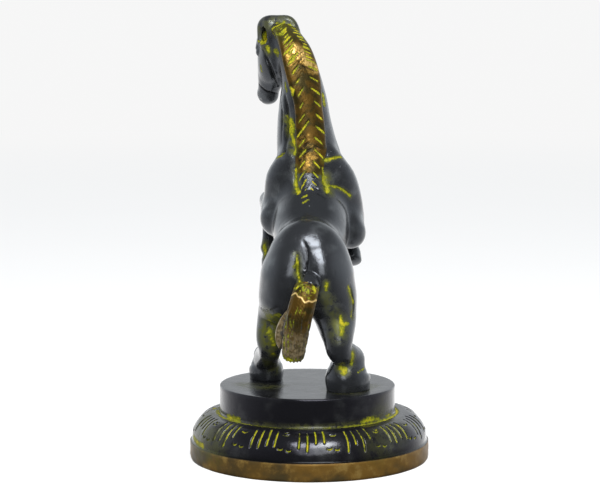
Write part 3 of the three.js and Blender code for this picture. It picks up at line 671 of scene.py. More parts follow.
def tail_relief(place, u, v):
    swing = 0.05 * np.sin(place * 2.3) + 0.03 * np.sin(place * 6.1)
    phase = (np.clip(u, -1, 1) + swing) * TAIL_GROOVES / 2
    broad = np.maximum(0, 1 - 2 * wave(phase)) * (0.5 + 0.5 * scatter(np.round(phase), 8))
    fine = np.maximum(0, 1 - 1.8 * wave(phase * 3 + 0.3 * np.sin(place * 3.1)))
    combed = np.clip((place - 2.3) * 0.8, 0.15, 1)
    ragged = np.clip((place - 5.3) * 2, 0, 1) * 0.9 * np.maximum(0, 1 - 1.3 * wave(phase * 0.9 + 0.3))
    return combed * (0.5 * broad + 0.22 * fine) + ragged


# A thin lock of the tail hangs to its left, a little in front of the rest.
TAIL_LOCK = [
    [-3.4, -33, 74, 2.4, 2.4],
    [-8.8, -33.5, 67, 3, 2.6],
    [-11.2, -34, 61, 2.8, 2.4],
    [-11.6, -34.4, 56.5, 1.7, 1.6],
]


def lock_relief(place, u, v):
    return 0.3 * np.maximum(0, 1 - 2 * wave(np.clip(u, -1, 1) * 1.7 + 0.1 * np.sin(place * 4)))


def horse_forms():
    return [
        *trunk_forms(),
        Loft(HIND_RIGHT, 4),
        Loft(HIND_LEFT, 4),
        *hoof_forms(x=18.2, y=-15.4, turn=-42, rise=1.04, size=1),
        *hoof_forms(x=-19.4, y=12.8, turn=20, rise=0.8, size=0.84),
        *foreleg_forms(**FORE_RIGHT),
        *foreleg_forms(**FORE_LEFT),
        Loft(NECK, 4),
        *head_forms(),
        *ear_forms(),
        Loft(MANE, 0.8, mane_relief, cap=0.6),
        Loft(TAIL_LOCK, 0.5, lock_relief),
        Loft(TAIL, 0.8, tail_relief, cap=0.6),
    ]


def mesh_piece(name, points, triangles, marks=None):
    """A Blender object from points in millimetres. `marks` are named masks with one value a point."""
    mesh = bpy.data.meshes.new(name)
    mesh.vertices.add(len(points))
    mesh.vertices.foreach_set("co", (points * MM).astype(np.float32).ravel())
    mesh.loops.add(triangles.size)
    mesh.loops.foreach_set("vertex_index", triangles.astype(np.int32).ravel())
    mesh.polygons.add(len(triangles))
    mesh.polygons.foreach_set("loop_start", np.arange(0, triangles.size, 3, dtype=np.int32))
    mesh.polygons.foreach_set("use_smooth", np.full(len(triangles), True))
    mesh.update(calc_edges=True)
    for mark, values in (marks or {}).items():
        layer = mesh.attributes.new(mark, "FLOAT", "POINT")
        layer.data.foreach_set("value", values.astype(np.float32))
    piece = bpy.data.objects.new(name, mesh)
    bpy.context.scene.collection.objects.link(piece)
    return piece


def ramp(value, low, high):
    """0 below `low`, 1 above `high`, and smooth between. It falls instead where `high` is below `low`."""
    t = np.clip((value - low) / (high - low), 0, 1)
    return t * t * (3 - 2 * t)


def lean_shift(height):
    """How far the horse's lean carries a point sideways at this height."""
    return HORSE_SHIFT - LEAN * (height - SOLE)


def photo_rays(spots):
    """The camera's place in millimetres, and the ways in which it sees these places of the photograph."""
    spots = np.array(spots, float)
    across = (spots[:, 0] - PHOTO_WIDTH / 2) * SENSOR_WIDTH / PHOTO_WIDTH
    up = (PHOTO_HEIGHT / 2 - spots[:, 1]) * SENSOR_WIDTH / PHOTO_WIDTH
    turn = np.array(camera.matrix_world.to_3x3())
    rays = np.stack([across, up, np.full(len(spots), -CAMERA_LENS)], 1) @ turn.T
    return np.array(CAMERA_PLACE) / MM, unit(rays)


# A ray's start in front of the horse, its number of steps, their limits and the share of the distance taken
RAY_START = 660.0
RAY_STEPS = 90
RAY_LIMITS = (-0.5, 6)
RAY_SHARE = 0.7
RAY_MARGIN = 40.0


def on_horse(forms, spots):
    """Points on the upright horse's skin, before its lean, under these places of the photograph."""
    eye, rays = photo_rays(spots)
    far = np.full(len(spots), RAY_START)
    best, least = far.copy(), np.full(len(spots), np.inf)
    for _ in range(RAY_STEPS):
        points = eye + rays * far[:, None]
        points[:, 0] -= lean_shift(points[:, 2])
        d = field_at(forms, points, RAY_MARGIN)
        closer = np.abs(d) < least
        best[closer], least[closer] = far[closer], np.abs(d[closer])
        far = far + np.clip(d, *RAY_LIMITS) * RAY_SHARE
    points = eye + rays * best[:, None]
    points[:, 0] -= lean_shift(points[:, 2])
    return points


# Creases that the tool cut: half width, depth, and places in the photograph
CREASES = {
    "croup_edge": (0.5, [(303, 241), (307, 249), (308, 260), (305.5, 271), (301.5, 282)]),
    "cleft": (0.7, [(297, 254), (297.5, 263), (298, 272), (300, 283)]),
    "neck_root_left": (0.5, [(277, 158), (281, 156), (285, 152), (287, 146)]),
    "neck_root_right": (0.5, [(323, 160), (330, 158.5), (336, 157.5), (341, 157)]),
    "withers_left": (0.8, [(296.5, 168), (295.5, 178), (296, 187), (297.5, 194)]),
    "withers_right": (0.9, [(323, 172), (324, 180), (326, 188), (327, 194)]),
    "shoulder_right": (0.5, [(327, 186), (334, 186.5), (342, 189), (350, 196)]),
    "neck_side_left": (1.1, [(285, 96), (286.5, 108), (287, 120), (286.5, 136), (285, 148)]),
    "throat": (0.5, [(281, 100), (282, 112), (282, 126), (281.5, 142)]),
    "cheek_line": (0.9, [(263, 50), (267, 60), (272, 72), (278, 86)]),
    "mouth": (0.45, [(258.5, 83), (262, 87.5), (266.5, 91), (272, 92.5), (277, 93.5)]),
    "thigh_left": (0.45, [(257.5, 304), (262, 309), (270, 310), (279, 306)]),
    "thigh_right": (0.6, [(350, 286), (352.5, 297), (353.5, 308), (352, 318)]),
    "tail_root": (0.5, [(296, 289), (302, 285), (309, 283.5), (315, 285), (320, 290)]),
}
CUT_STROKES = [
    [(300, 149), (305, 145), (310, 142)],
    [(302, 156), (307, 151.5), (312, 148.5)],
    [(299, 161), (304, 156.5)],
    [(312.5, 154), (320, 157)],
    [(315, 146), (322, 149)],
    [(299, 141), (305, 137)],
    [(296, 58), (303, 51)],
    [(299, 62), (305, 55)],
    [(306, 57), (313, 60)],
    [(303, 66), (310, 68.5), (316, 71.5)],
    [(302, 191), (310, 184)],
    [(302, 198), (307, 195.5)],
    [(303, 203), (308, 200)],
    [(312.5, 177), (320.5, 181)],
    [(311.5, 186), (319.5, 190)],
    [(317, 193.5), (325, 199)],
    [(305, 178), (309, 173)],
]
STROKE_WIDTH = 0.42


def crease_forms(forms):
    """Thin cuts laid on the skin under lines of the photograph."""
    cuts = []
    lines = [*CREASES.values(), *[(STROKE_WIDTH, line) for line in CUT_STROKES]]
    for width, line in lines:
        points = on_horse(forms, line)
        rows = [[*point, width, width] for point in points]
        rows[0][3] = rows[0][4] = rows[-1][3] = rows[-1][4] = width * 0.4
        cuts.append(Loft(rows, width * 0.9, cut=True))
    return cuts


def crease_mark(cuts, points):
    """How deep in the cuts each point lies, for darkening them."""
    mark = np.zeros(len(points))
    for cut in cuts:
        near = ((points > cut.low) & (points < cut.high)).all(1)
        if near.any():
            mark[near] = np.maximum(mark[near], ramp(cut.distance(points[near]), 0.3, -0.1))
    return mark


# Old lime pigment: name, radius in millimetres, strength, and places in the photograph
PIGMENT = [
    ("mane border", 2.0, 0.9, [(290, 121), (292, 126), (291.5, 132)]),
    ("mane border, top", 0.7, 0.9, [(287, 116), (290, 121)]),
    ("mane border, thin", 0.9, 0.95, [(292, 134), (294, 142), (296, 149), (294.5, 154)]),
    ("mane crown", 0.8, 1.0, [(272.5, 29.5), (278, 25.5), (284, 22)]),
    ("mane crown, low", 1.0, 0.8, [(276, 34), (282, 34.5)]),
    ("ear hollow", 1.7, 1.0, [(266, 35), (265.5, 39), (263.5, 43)]),
    ("ear root", 1.0, 1.0, [(267.5, 47), (268.5, 51)]),
    ("neck beside the ear", 1.6, 0.55, [(276, 51), (279, 56)]),
    ("brow", 0.6, 0.9, [(257.5, 40.5), (261, 43)]),
    ("eye", 0.9, 0.8, [(260.5, 66), (261.5, 71)]),
    ("neck side", 0.8, 0.75, [(285, 83), (286.5, 91)]),
    ("mane foot left", 0.8, 0.85, [(290.5, 88), (293, 90), (292, 95)]),
    ("neck right", 1.3, 1.0, [(323, 95), (324.5, 104)]),
    ("neck root right", 0.7, 1.0, [(325, 160.5), (330, 159), (336, 157.5), (341, 157)]),
    ("neck root right, wide", 1.0, 0.9, [(326, 160), (329, 160)]),
    ("neck root left", 0.7, 0.8, [(277, 158), (281, 156), (284, 153)]),
    ("withers left", 0.9, 0.85, [(296.5, 170), (296.5, 182)]),
    ("withers left, low", 1.2, 0.95, [(296.3, 182), (297, 188), (298.5, 193)]),
    ("withers right", 2.0, 0.75, [(325, 179), (327, 187), (327.5, 191)]),
    ("withers right, core", 1.3, 1.0, [(326.5, 186), (327.5, 191)]),
    ("withers right, top", 0.6, 0.7, [(322.5, 168), (323.5, 176)]),
    ("shoulder right", 0.7, 0.9, [(329, 186), (336, 187), (343, 190), (350, 196)]),
    ("withers strokes", 0.6, 0.9, [(302, 198), (307, 195.5)]),
    ("withers strokes, low", 0.6, 0.9, [(303, 203), (308, 200)]),
    ("foreleg left", 1.3, 0.9, [(264, 246), (265, 254)]),
    ("cleft", 0.8, 0.8, [(297, 256), (297.5, 265), (297.5, 274), (300, 282)]),
    ("cleft branch", 0.6, 0.7, [(293.5, 267), (298, 262)]),
    ("tail root a", 0.6, 1.0, [(303, 287), (303.5, 291)]),
    ("tail root b", 0.5, 0.9, [(308, 290), (308.5, 293)]),
    ("tail root c", 0.7, 1.0, [(313.5, 287), (315, 291)]),
    ("tail root d", 0.6, 1.0, [(317, 286), (318.5, 290)]),
    ("tail root e", 0.6, 0.9, [(296, 289), (298, 286)]),
    ("beside the tail", 0.9, 0.8, [(326.5, 283), (326, 290)]),
    ("thigh left, top", 1.5, 0.7, [(267, 316), (279, 315)]),
    ("thigh left, core", 1.8, 0.66, [(270, 321), (269.5, 333)]),
    ("thigh left, low", 1.2, 0.66, [(270, 335), (274, 345)]),
    ("pastern left", 0.8, 0.75, [(273, 353.5), (279, 357)]),
    ("thigh right", 0.9, 1.0, [(348.5, 287), (351, 295), (352.5, 303)]),
    ("thigh right, low", 0.5, 0.9, [(352.5, 303), (352, 311), (351, 317)]),
    ("star", 1.3, 0.9, [(342, 324), (341.5, 334)]),
    ("star arm", 0.8, 0.9, [(340.5, 316), (341.5, 325), (348.5, 323.5)]),
    ("foot right", 1.1, 0.9, [(352.5, 353), (351.5, 363)]),
    ("heel right", 1.2, 0.95, [(340.5, 368), (345, 369), (343.5, 373)]),
    ("coronet right", 0.4, 0.9, [(358, 372), (361, 371), (364, 368)]),
]

# Thin olive stains round the pigment and over the ears, in the same way
STAINS = [
    ("ear", 2.2, 0.8, [(266, 35), (265, 43), (268, 51)]),
    ("crown", 2.0, 0.7, [(275, 30), (283, 27)]),
    ("mane edge", 2.6, 0.9, [(287, 118), (290, 132), (294, 150)]),
    ("withers left", 2.0, 0.8, [(296, 168), (296.5, 192)]),
    ("withers right", 3.4, 0.8, [(325, 178), (328, 191)]),
    ("neck root right", 1.4, 0.7, [(323, 161), (341, 157)]),
    ("shoulder right", 1.4, 0.6, [(329, 186), (343, 190), (350, 196)]),
    ("foreleg left", 2.4, 0.8, [(264, 244), (265, 256)]),
    ("cleft", 1.8, 0.8, [(297, 256), (297.5, 274), (300, 284)]),
    ("thigh left", 5.4, 1.0, [(272, 319), (268, 330), (272, 342)]),
    ("beside the tail", 1.6, 0.8, [(326.5, 283), (326, 290)]),
    ("beside the tail, low", 3.2, 0.7, [(325, 296), (329, 302), (333, 312)]),
    ("thigh right", 1.8, 0.8, [(349, 289), (352, 303), (352, 316)]),
    ("star", 4.2, 0.8, [(339, 322), (338, 334)]),
    ("ear cap", 4.4, 0.55, [(262, 29), (268, 23), (280, 19.5), (292, 21), (298, 27)]),
    ("pastern left", 2.2, 0.8, [(271, 352), (280, 357)]),
    ("pastern left, low", 3.0, 0.8, [(266, 361), (275, 368)]),
    ("foot right", 2.0, 0.8, [(353, 352), (351.5, 363)]),
    ("heel right", 2.4, 0.8, [(340.5, 368), (345, 371)]),
]

# Where the mane and the tail are rubbed bright, in the same way. At the poll the rubbed brass is also a
# painted highlight.
RUBBED_BRASS_AND_HIGHLIGHT = [
    ("poll", 4.0, 0.9, [(296, 49), (302, 55), (309, 62), (313, 68)]),
    ("poll, left", 3.2, 0.5, [(288, 48), (288, 56), (292, 63)]),
    ("neck", 6.6, 0.48, [(304, 145), (310, 154), (308, 162)]),
    ("tail middle", 3.0, 0.4, [(303, 307), (301, 313)]),
]


def smear_mask(points, smears, place_of):
    """How strongly each point is covered: 1 on a smear's line, 0 beyond its radius."""
    mask = np.zeros(len(points))
    spots = [spot for _, _, _, line in smears for spot in line]
    placed = place_of(spots)
    first = 0
    for _, radius, strength, line in smears:
        knots = placed[first : first + len(line)]
        first += len(line)
        for a, b in zip(knots[:-1], knots[1:]):
            reach = np.abs(points - (a + b) / 2).max(1) < np.linalg.norm(b - a) / 2 + radius * 2
            near = points[reach] - a
            along = np.clip(near @ (b - a) / ((b - a) @ (b - a)), 0, 1)
            far = np.linalg.norm(near - along[:, None] * (b - a), axis=1) / radius
            mask[reach] = np.maximum(mask[reach], strength * np.clip(1.5 - far, 0, 1))
    return mask


# Hair takes its colour within this distance of the mane's or the tail's form.
HAIR_REACH = 0.7

# Where the rubbed brass of the tail begins, in stations, and that of its side lock, by height
TAIL_BARE = (1.45, 1.65)
LOCK_BARE = (75, 71)

# The bright thread round the cuff: how thick it is, in stations, and the height that it stays below
THREAD_EDGE = (0.055, 0.01)
THREAD_BELOW = (82.5, 81.5)

# How far from the skin a point looks for a hollow, for the painted shade in hollows, and the parts of the
# horse that get a finer skin
SHADE_PROBE_REACH = 2.2
FINE_FACE_ABOVE = 160
FINE_FACE_AHEAD = 44
MANE_BEHIND = 46


def mane_marks(mane, points):
    """Where the mane is, how far down it each point lies, and its cut strokes and hairs."""
    d, place, u, _ = mane.measure(points)
    ends = ramp(place, 0.02, 0.1) * ramp(place, MANE_END + 0.3, MANE_END - 0.3)
    stroke = mane_strokes(place, u, LOCKS_PER_STATION, 0.16, 1)
    hair = mane_strokes(place, u, HAIRS_PER_STATION, 0.13, 4) * np.clip((3.4 - place) * 2, 0, 1)
    held = 1 - 0.6 * ramp(u, 0.55, 0.85) * ramp(place, 3, 2.4)
    cut = np.where(d < HAIR_REACH, np.maximum(stroke, hair * 0.9) * held, 0)
    return ramp(d, HAIR_REACH, 0.1) * ends, place, cut


def tail_marks(tail, lock, points):
    """Where the tail and its side lock are, how far down, and the masks of the tail's finish."""
    d, place, u, v = tail.measure(points)
    on_tail = ramp(d, HAIR_REACH, 0.1) * ramp(place, *TAIL_BARE)
    on_lock = ramp(lock.measure(points)[0], 0.6, 0.1) * ramp(points[:, 2], *LOCK_BARE)
    aside = 0.5 + 0.7 * ramp(u, -0.1, -0.5) + 0.4 * ramp(u, 0.6, 0.85)
    fringe = np.exp(-(((u + 0.1) / 0.35) ** 2) - ((place - 2.9) / 0.25) ** 2)
    streaks = tail_relief(place, u, v) * (aside * ramp(place, 2.5, 4.2) + 3 * fringe)
    edge = CUFF_END + 0.12 * np.sin(3.4 * u + 0.9) + 0.04 * np.sin(11 * u)
    on_edge = ramp(np.abs(place - edge), *THREAD_EDGE) * ramp(points[:, 2], *THREAD_BELOW)
    marks = {
        "strand": np.where((d < HAIR_REACH) & (on_lock < 0.5), streaks, 0),
        "cuff": on_tail * ramp(place, CUFF_END + 0.1, CUFF_END - 0.05),
        "thread": on_tail * on_edge,
        "greased": on_tail * np.exp(-((u / 0.4) ** 2) - ((place - 3.5) / 0.5) ** 2),
        "ashen": np.maximum(on_lock, on_tail * ramp(place, 3.6, 4.8)),
    }
    return on_tail, on_lock, place, marks


def build_horse():
    bare = horse_forms()
    cuts = crease_forms(bare)
    forms = [*bare, *cuts]
    step = SKIN_STEP * 1
    points, triangles = skin_of(forms, SKIN_LOW, SKIN_HIGH, step)
    points = settle(forms, points)
    mane = Loft(MANE, 0.8, mane_relief, cap=0.6)
    tail = Loft(TAIL, 0.8, tail_relief, cap=0.6)
    lock = Loft(TAIL_LOCK, 0.5)

    def fine(p):
        near_mane = (mane.measure(p)[0] < 1) & (p[:, 1] < MANE_BEHIND)
        near_tail = tail.measure(p)[0] < 1
        near_face = (p[:, 2] > FINE_FACE_ABOVE) & (p[:, 1] > FINE_FACE_AHEAD)
        return near_mane | near_tail | near_face

    points, triangles = refine(points, triangles, fine)
    points = settle(forms, points, passes=2, most=0.3)
    value, slope = slope_at(forms, points)
    out = unit(slope + 1e-9)
    around = in_batches(lambda p: field_at(forms, p), points + out * SHADE_PROBE_REACH)
    on_mane, place, stroke = mane_marks(mane, points)
    on_tail, on_lock, tail_place, marks = tail_marks(tail, lock, points)
    marks["metal"] = np.maximum(np.maximum(on_mane, on_tail), on_lock)
    marks["mane"] = on_mane
    marks["along"] = np.where(on_tail > 0.5, tail_place, place)
    marks["stroke"] = stroke
    marks["crease"] = crease_mark(cuts, points)
    # Painted shade: 1 in deep hollows, 0 on open skin
    marks["hollow"] = np.clip(1 - around / SHADE_PROBE_REACH, 0, 1)
    for name, smears in (("pigment", PIGMENT), ("stain", STAINS), ("rubbed_and_highlight", RUBBED_BRASS_AND_HIGHLIGHT)):
        marks[name] = smear_mask(points, smears, lambda spots: on_horse(forms, spots))
    points[:, 0] += lean_shift(points[:, 2])
    furthest = round(float(np.abs(value).max()), 3)
    print("horse skin:", len(triangles), "triangles, furthest from the form", furthest)
    piece = mesh_piece("horse_skin", points, triangles, marks)
    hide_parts("horse")
    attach(piece, "root")
    return piece


# The plinth's moulding, from the band up to the drum's foot, as a curve of (radius, height)
MOULDING = np.array([(54.1, 8.9), (54.8, 15.2), (48.3, 21.4), (42.9, 21.0)])


def bezier(t):
    s = 1 - t
    weights = np.stack([s**3, 3 * s * s * t, 3 * s * t * t, t**3], -1)
    return weights @ MOULDING


PLINTH_COLUMNS = 1080
MOULDING_ROWS = 46
MOULDING_LENGTH = 20.0
STROKE_HALF = 0.62
STROKE_DEPTH = 0.75
PILLOW_RISE = 0.45
PILLOW_HALF = 0.34

# The punch marks between two groups of strokes: shift in millimetres, place up the moulding, and half width
PUNCH_MARKS = [(0, 0.66, 1.7), (-2.2, 0.3, 1.3), (1.6, 0.27, 1.2), (0.3, 0.74, 1.0)]


def arc_mark(side, up, half, sag, thick):
    """A small U-shaped punch mark, measured in millimetres across and up."""
    curve = sag * ((side / half) ** 2 - 1)
    return ramp(np.abs(up - curve), thick, thick * 0.3) * ramp(np.abs(side), half * 1.1, half * 0.8)


def moulding_marks(angle, t, radius):
    """Depth of the carving and the swell of the pillows over the moulding."""
    group_angle = 2 * math.pi / MOULDING_GROUPS
    turn = (angle + math.pi / 2) / group_angle
    group = np.round(turn)
    local = (turn - group) * group_angle
    carved = np.zeros_like(local)
    for n in range(STROKES_PER_GROUP):
        offset = n - (STROKES_PER_GROUP - 1) / 2
        number = group * STROKES_PER_GROUP + n
        low = 0.14 + 0.3 * scatter(number, 1)
        high = 0.9 - 0.12 * scatter(number, 2)
        lean = (scatter(number, 3) - 0.5) * 0.016
        bow = math.radians(0.9) * np.sin(np.pi * t)
        middle = offset * STROKE_SPACING + bow + lean * (t - 0.5)
        side = (local - middle) * radius
        along = ramp(t, low - 0.03, low + 0.05) * ramp(t, high + 0.03, high - 0.05)
        carved = np.maximum(carved, along * ramp(np.abs(side), STROKE_HALF, 0.1))
    panel = np.floor(turn)
    across = (turn - panel - 0.5) * group_angle * radius
    for n, (shift, place, half) in enumerate(PUNCH_MARKS):
        drift = (scatter(panel * 4 + n, 5) - 0.5) * 1.4
        there = scatter(panel * 4 + n, 6) > (0.1 if n < 3 else 0.55)
        up = (t - place) * MOULDING_LENGTH + drift * 0.5
        carved = np.maximum(carved, there * arc_mark(across - shift - drift, up, half, 0.7, 0.42))
    pillow = np.cos(np.clip(np.abs(turn - panel - 0.5) / PILLOW_HALF, 0, 1) * np.pi / 2) ** 0.8
    swell = pillow * np.sin(np.pi * np.clip((t - 0.08) / 0.84, 0, 1))
    return carved, swell


# Pigment and stains on the plinth, in the same way as on the horse
PLINTH_PIGMENT = [
    ("drum foot, far left", 1.2, 1.0, [(214.5, 403), (215, 408)]),
    ("drum foot, left", 1.4, 1.0, [(228, 417), (233, 418), (239, 420)]),
    ("drum foot, right", 1.1, 1.0, [(362, 421.5), (370, 419), (378, 419.5)]),
    ("drum foot, far right", 0.8, 0.8, [(386, 416), (391, 414)]),
    ("band edge, left", 1.2, 1.0, [(193.5, 437), (197, 442), (203, 446)]),
]
PLINTH_STAINS = [
    ("under the hoof, left", 5.0, 0.8, [(250, 384), (262, 388), (276, 386)]),
    ("under the hoof, right", 5.0, 0.6, [(335, 392), (352, 393), (368, 386)]),
    ("drum foot, left half", 1.1, 0.7, [(212, 408), (232, 419), (262, 425), (300, 427)]),
    ("drum foot, right half", 1.1, 0.7, [(300, 427), (340, 425), (374, 418), (392, 410)]),
    ("moulding, left", 9, 0.4, [(206, 414), (200, 428), (212, 446)]),
    ("moulding, right", 8, 0.3, [(384, 418), (390, 430), (378, 444)]),
]


# Rings of the plinth's underside and of the drum's top, by radius
UNDERSIDE_RINGS = (0, 20, 36, 48, 53.6)
TOP_RINGS = (39.2, 36, 30, 20, 10, 0)
BAND_ROWS = 8
DRUM_ROWS = 10
SEAM_RADIUS = 41.2


def plinth_rows():
    """The profile from the middle of the underside to the middle of the top: radius, height, part."""
    rows = [(radius, 0.0, "under") for radius in UNDERSIDE_RINGS]
    rows.append((PLINTH_RADIUS - 0.3, 0.12, "band"))
    for n in range(1, BAND_ROWS + 1):
        rows.append((PLINTH_RADIUS, 0.35 + (BAND_HEIGHT - 0.7) * n / BAND_ROWS, "band"))
    rows.append((PLINTH_RADIUS - 0.25, BAND_HEIGHT - 0.05, "band"))
    rows.append((PLINTH_RADIUS - 0.8, BAND_HEIGHT + 0.15, "ledge"))
    rows += [(*bezier(n / MOULDING_ROWS), "moulding") for n in range(MOULDING_ROWS + 1)]
    rows += [(41.9, 20.85, "foot"), (41.0, 20.55, "foot"), (DRUM_RADIUS + 0.05, DRUM_FOOT, "foot")]
    for n in range(1, DRUM_ROWS + 1):
        height = DRUM_FOOT + 0.3 + (PLINTH_HEIGHT - DRUM_FOOT - 0.9) * n / DRUM_ROWS
        rows.append((DRUM_RADIUS, height, "drum"))
    rows.append((DRUM_RADIUS - 0.12, PLINTH_HEIGHT - 0.3, "edge"))
    rows.append((DRUM_RADIUS - 0.5, PLINTH_HEIGHT - 0.04, "edge"))
    return rows + [(radius, PLINTH_HEIGHT, "top") for radius in TOP_RINGS]


def build_plinth():
    rows = plinth_rows()
    profile = np.array([(r, z) for r, z, _ in rows])
    kinds = [kind for _, _, kind in rows]
    columns = PLINTH_COLUMNS // 1
    angle = np.arange(columns) * 2 * math.pi / columns
    ring = np.arange(columns)
    points, carve = [], []
    for i, (radius, height) in enumerate(profile[1:-1], 1):
        r, z = np.full(columns, radius), np.full(columns, height)
        cut = np.zeros(columns)
        if kinds[i] == "moulding":
            t = (i - kinds.index("moulding")) / MOULDING_ROWS
            tangent = bezier(min(t + 0.01, 1)) - bezier(max(t - 0.01, 0))
            normal = np.array([tangent[1], -tangent[0]]) / np.linalg.norm(tangent)
            cut, swell = moulding_marks(angle, t, radius)
            rise = PILLOW_RISE * (swell - 0.6) - STROKE_DEPTH * cut
            r, z = r + normal[0] * rise, z + normal[1] * rise
        if kinds[i] == "band":
            r = r - 0.1 + 0.09 * np.sin(angle * 7 + height) * np.sin(angle * 23 + 1)
        shift = DRUM_SHIFT * ramp(height, DRUM_FOOT - 0.6, DRUM_FOOT + 0.4) * (radius < 43)
        points.append(np.stack([r * np.cos(angle) + shift, r * np.sin(angle), z], 1))
        carve.append(cut)
    count = len(points)
    points = np.vstack([*points, [[0, 0, 0.0], [DRUM_SHIFT, 0, PLINTH_HEIGHT]]])
    carve = np.concatenate([*carve, [0, 0]])
    after = (ring + 1) % columns
    triangles = []
    for i in range(count - 1):
        a, b = i * columns, (i + 1) * columns
        triangles.append(np.stack([a + ring, a + after, b + after], 1))
        triangles.append(np.stack([a + ring, b + after, b + ring], 1))
    last = (count - 1) * columns
    triangles.append(np.stack([after, ring, np.full(columns, count * columns)], 1))
    triangles.append(np.stack([last + ring, last + after, np.full(columns, count * columns + 1)], 1))
    triangles = np.concatenate(triangles)
    height = points[:, 2]
    marks = {"carve": carve, "band": ramp(height, BAND_HEIGHT + 0.35, BAND_HEIGHT - 0.35)}
    seat = np.hypot(points[:, 0] - DRUM_SHIFT, points[:, 1])
    at_seam = ramp(height, 21.8, 21.0) * ramp(height, 20, 20.5)
    marks["seam"] = ramp(np.abs(seat - SEAM_RADIUS), 1.15, 0.2) * at_seam

    def on_plinth(spots):
        eye, rays = photo_rays(spots)
        skin = BVHTree.FromPolygons(points.tolist(), triangles.tolist())
        placed = []
        for ray in rays:
            hit = skin.ray_cast(Vector(eye), Vector(ray))[0]
            placed.append(hit or skin.find_nearest(Vector(eye + ray * np.linalg.norm(eye)))[0])
        return np.array([tuple(hit) for hit in placed])

    marks["pigment"] = smear_mask(points, PLINTH_PIGMENT, on_plinth)
    above_band = ramp(height, BAND_HEIGHT - 0.25, BAND_HEIGHT)
    marks["ledge"] = above_band * ramp(height, BAND_HEIGHT + 1, BAND_HEIGHT + 0.6)
    marks["stain"] = smear_mask(points, PLINTH_STAINS, on_plinth)
    piece = mesh_piece("plinth_skin", points, triangles, marks)
    print("plinth skin:", len(triangles), "triangles")
    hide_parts("plinth")
    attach(piece, "root")
    return piece


class Nodes:
    """Short ways to make and join a material's nodes."""

    def __init__(self, tree):
        self.tree = tree

    def add(self, kind, inputs=None, **settings):
        node = self.tree.nodes.new(kind)
        for key, value in settings.items():
            setattr(node, key, value)
        for key, value in (inputs or {}).items():
            self.give(node.inputs[key], value)
        return node

    def give(self, socket, value):
        if isinstance(value, bpy.types.NodeSocket):
            self.tree.links.new(value, socket)
        elif isinstance(value, bpy.types.Node):
            self.tree.links.new(value.outputs[0], socket)
        else:
            socket.default_value = value

    def math(self, operation, a, b=0.0, clamp=False):
        return self.add("ShaderNodeMath", {0: a, 1: b}, operation=operation, use_clamp=clamp).outputs[0]

    def range(self, value, low, high, to_low=0.0, to_high=1.0):
        inputs = {"Value": value, "From Min": low, "From Max": high, "To Min": to_low, "To Max": to_high}
        return self.add("ShaderNodeMapRange", inputs, interpolation_type="SMOOTHSTEP").outputs[0]

    def noise(self, place, scale, detail=4.0, roughness=0.55):
        inputs = {"Vector": place, "Scale": scale, "Detail": detail, "Roughness": roughness}
        return self.add("ShaderNodeTexNoise", inputs).outputs["Fac"]

    def mix(self, factor, a, b, blend="MIX"):
        node = self.add("ShaderNodeMix", data_type="RGBA", blend_type=blend)
        self.give(node.inputs[0], factor)
        self.give(node.inputs[6], a)
        self.give(node.inputs[7], b)
        return node.outputs[2]

    def blend(self, factor, a, b):
        """Between two numbers, where `mix` is between two colours."""
        return self.add("ShaderNodeMix", {0: factor, 2: a, 3: b}).outputs[0]

    def mark(self, name):
        return self.add("ShaderNodeAttribute", attribute_name=name).outputs["Fac"]


# Colours of the paint, the rubbed brass and its patina, the pigment, and the raw band
PAINT_BLACK = (0.042, 0.045, 0.050, 1)
PAINT_WORN = (0.085, 0.092, 0.098, 1)
PAINT_DEEP = (0.018, 0.018, 0.022, 1)
PAINT_DEEP_WORN = (0.050, 0.052, 0.055, 1)
NEAR_BLACK = (0.006, 0.006, 0.006, 1)
PATINA_BROWN = (0.062, 0.035, 0.006, 1)
PATINA_DARK = (0.026, 0.020, 0.006, 1)
PATINA_OLIVE = (0.056, 0.050, 0.012, 1)
PATINA_ASH = (0.19, 0.15, 0.085, 1)
BRASS_BRIGHT = (0.66, 0.44, 0.14, 1)
BRASS_DULL = (0.24, 0.145, 0.032, 1)
BRASS_PALE = (0.60, 0.42, 0.17, 1)
PIGMENT_LIME = (0.140, 0.148, 0.004, 1)
PIGMENT_YELLOW = (0.24, 0.20, 0.006, 1)
PIGMENT_OLIVE = (0.050, 0.053, 0.002, 1)
BAND_BROWN = (0.105, 0.058, 0.012, 1)
BAND_PALE = (0.155, 0.100, 0.028, 1)
BAND_DARK = (0.040, 0.030, 0.013, 1)

# How the surfaces shine
SPECULAR_LEVEL = 0.12
PAINT_METALLIC = 0.8
BAND_METALLIC = 0.5
PIGMENT_ROUGHNESS = 0.6
PATINA_ROUGHNESS = 0.38
BAND_ROUGHNESS = 0.42
GRAIN_HEIGHT = 0.00025


def new_material(name):
    material = bpy.data.materials.new(name)
    material.use_nodes = True
    tree = material.node_tree
    tree.nodes.clear()
    nodes = Nodes(tree)
    shader = nodes.add("ShaderNodeBsdfPrincipled")
    shader.inputs["Specular IOR Level"].default_value = SPECULAR_LEVEL
    output = nodes.add("ShaderNodeOutputMaterial")
    tree.links.new(shader.outputs[0], output.inputs["Surface"])
    return material, nodes, shader


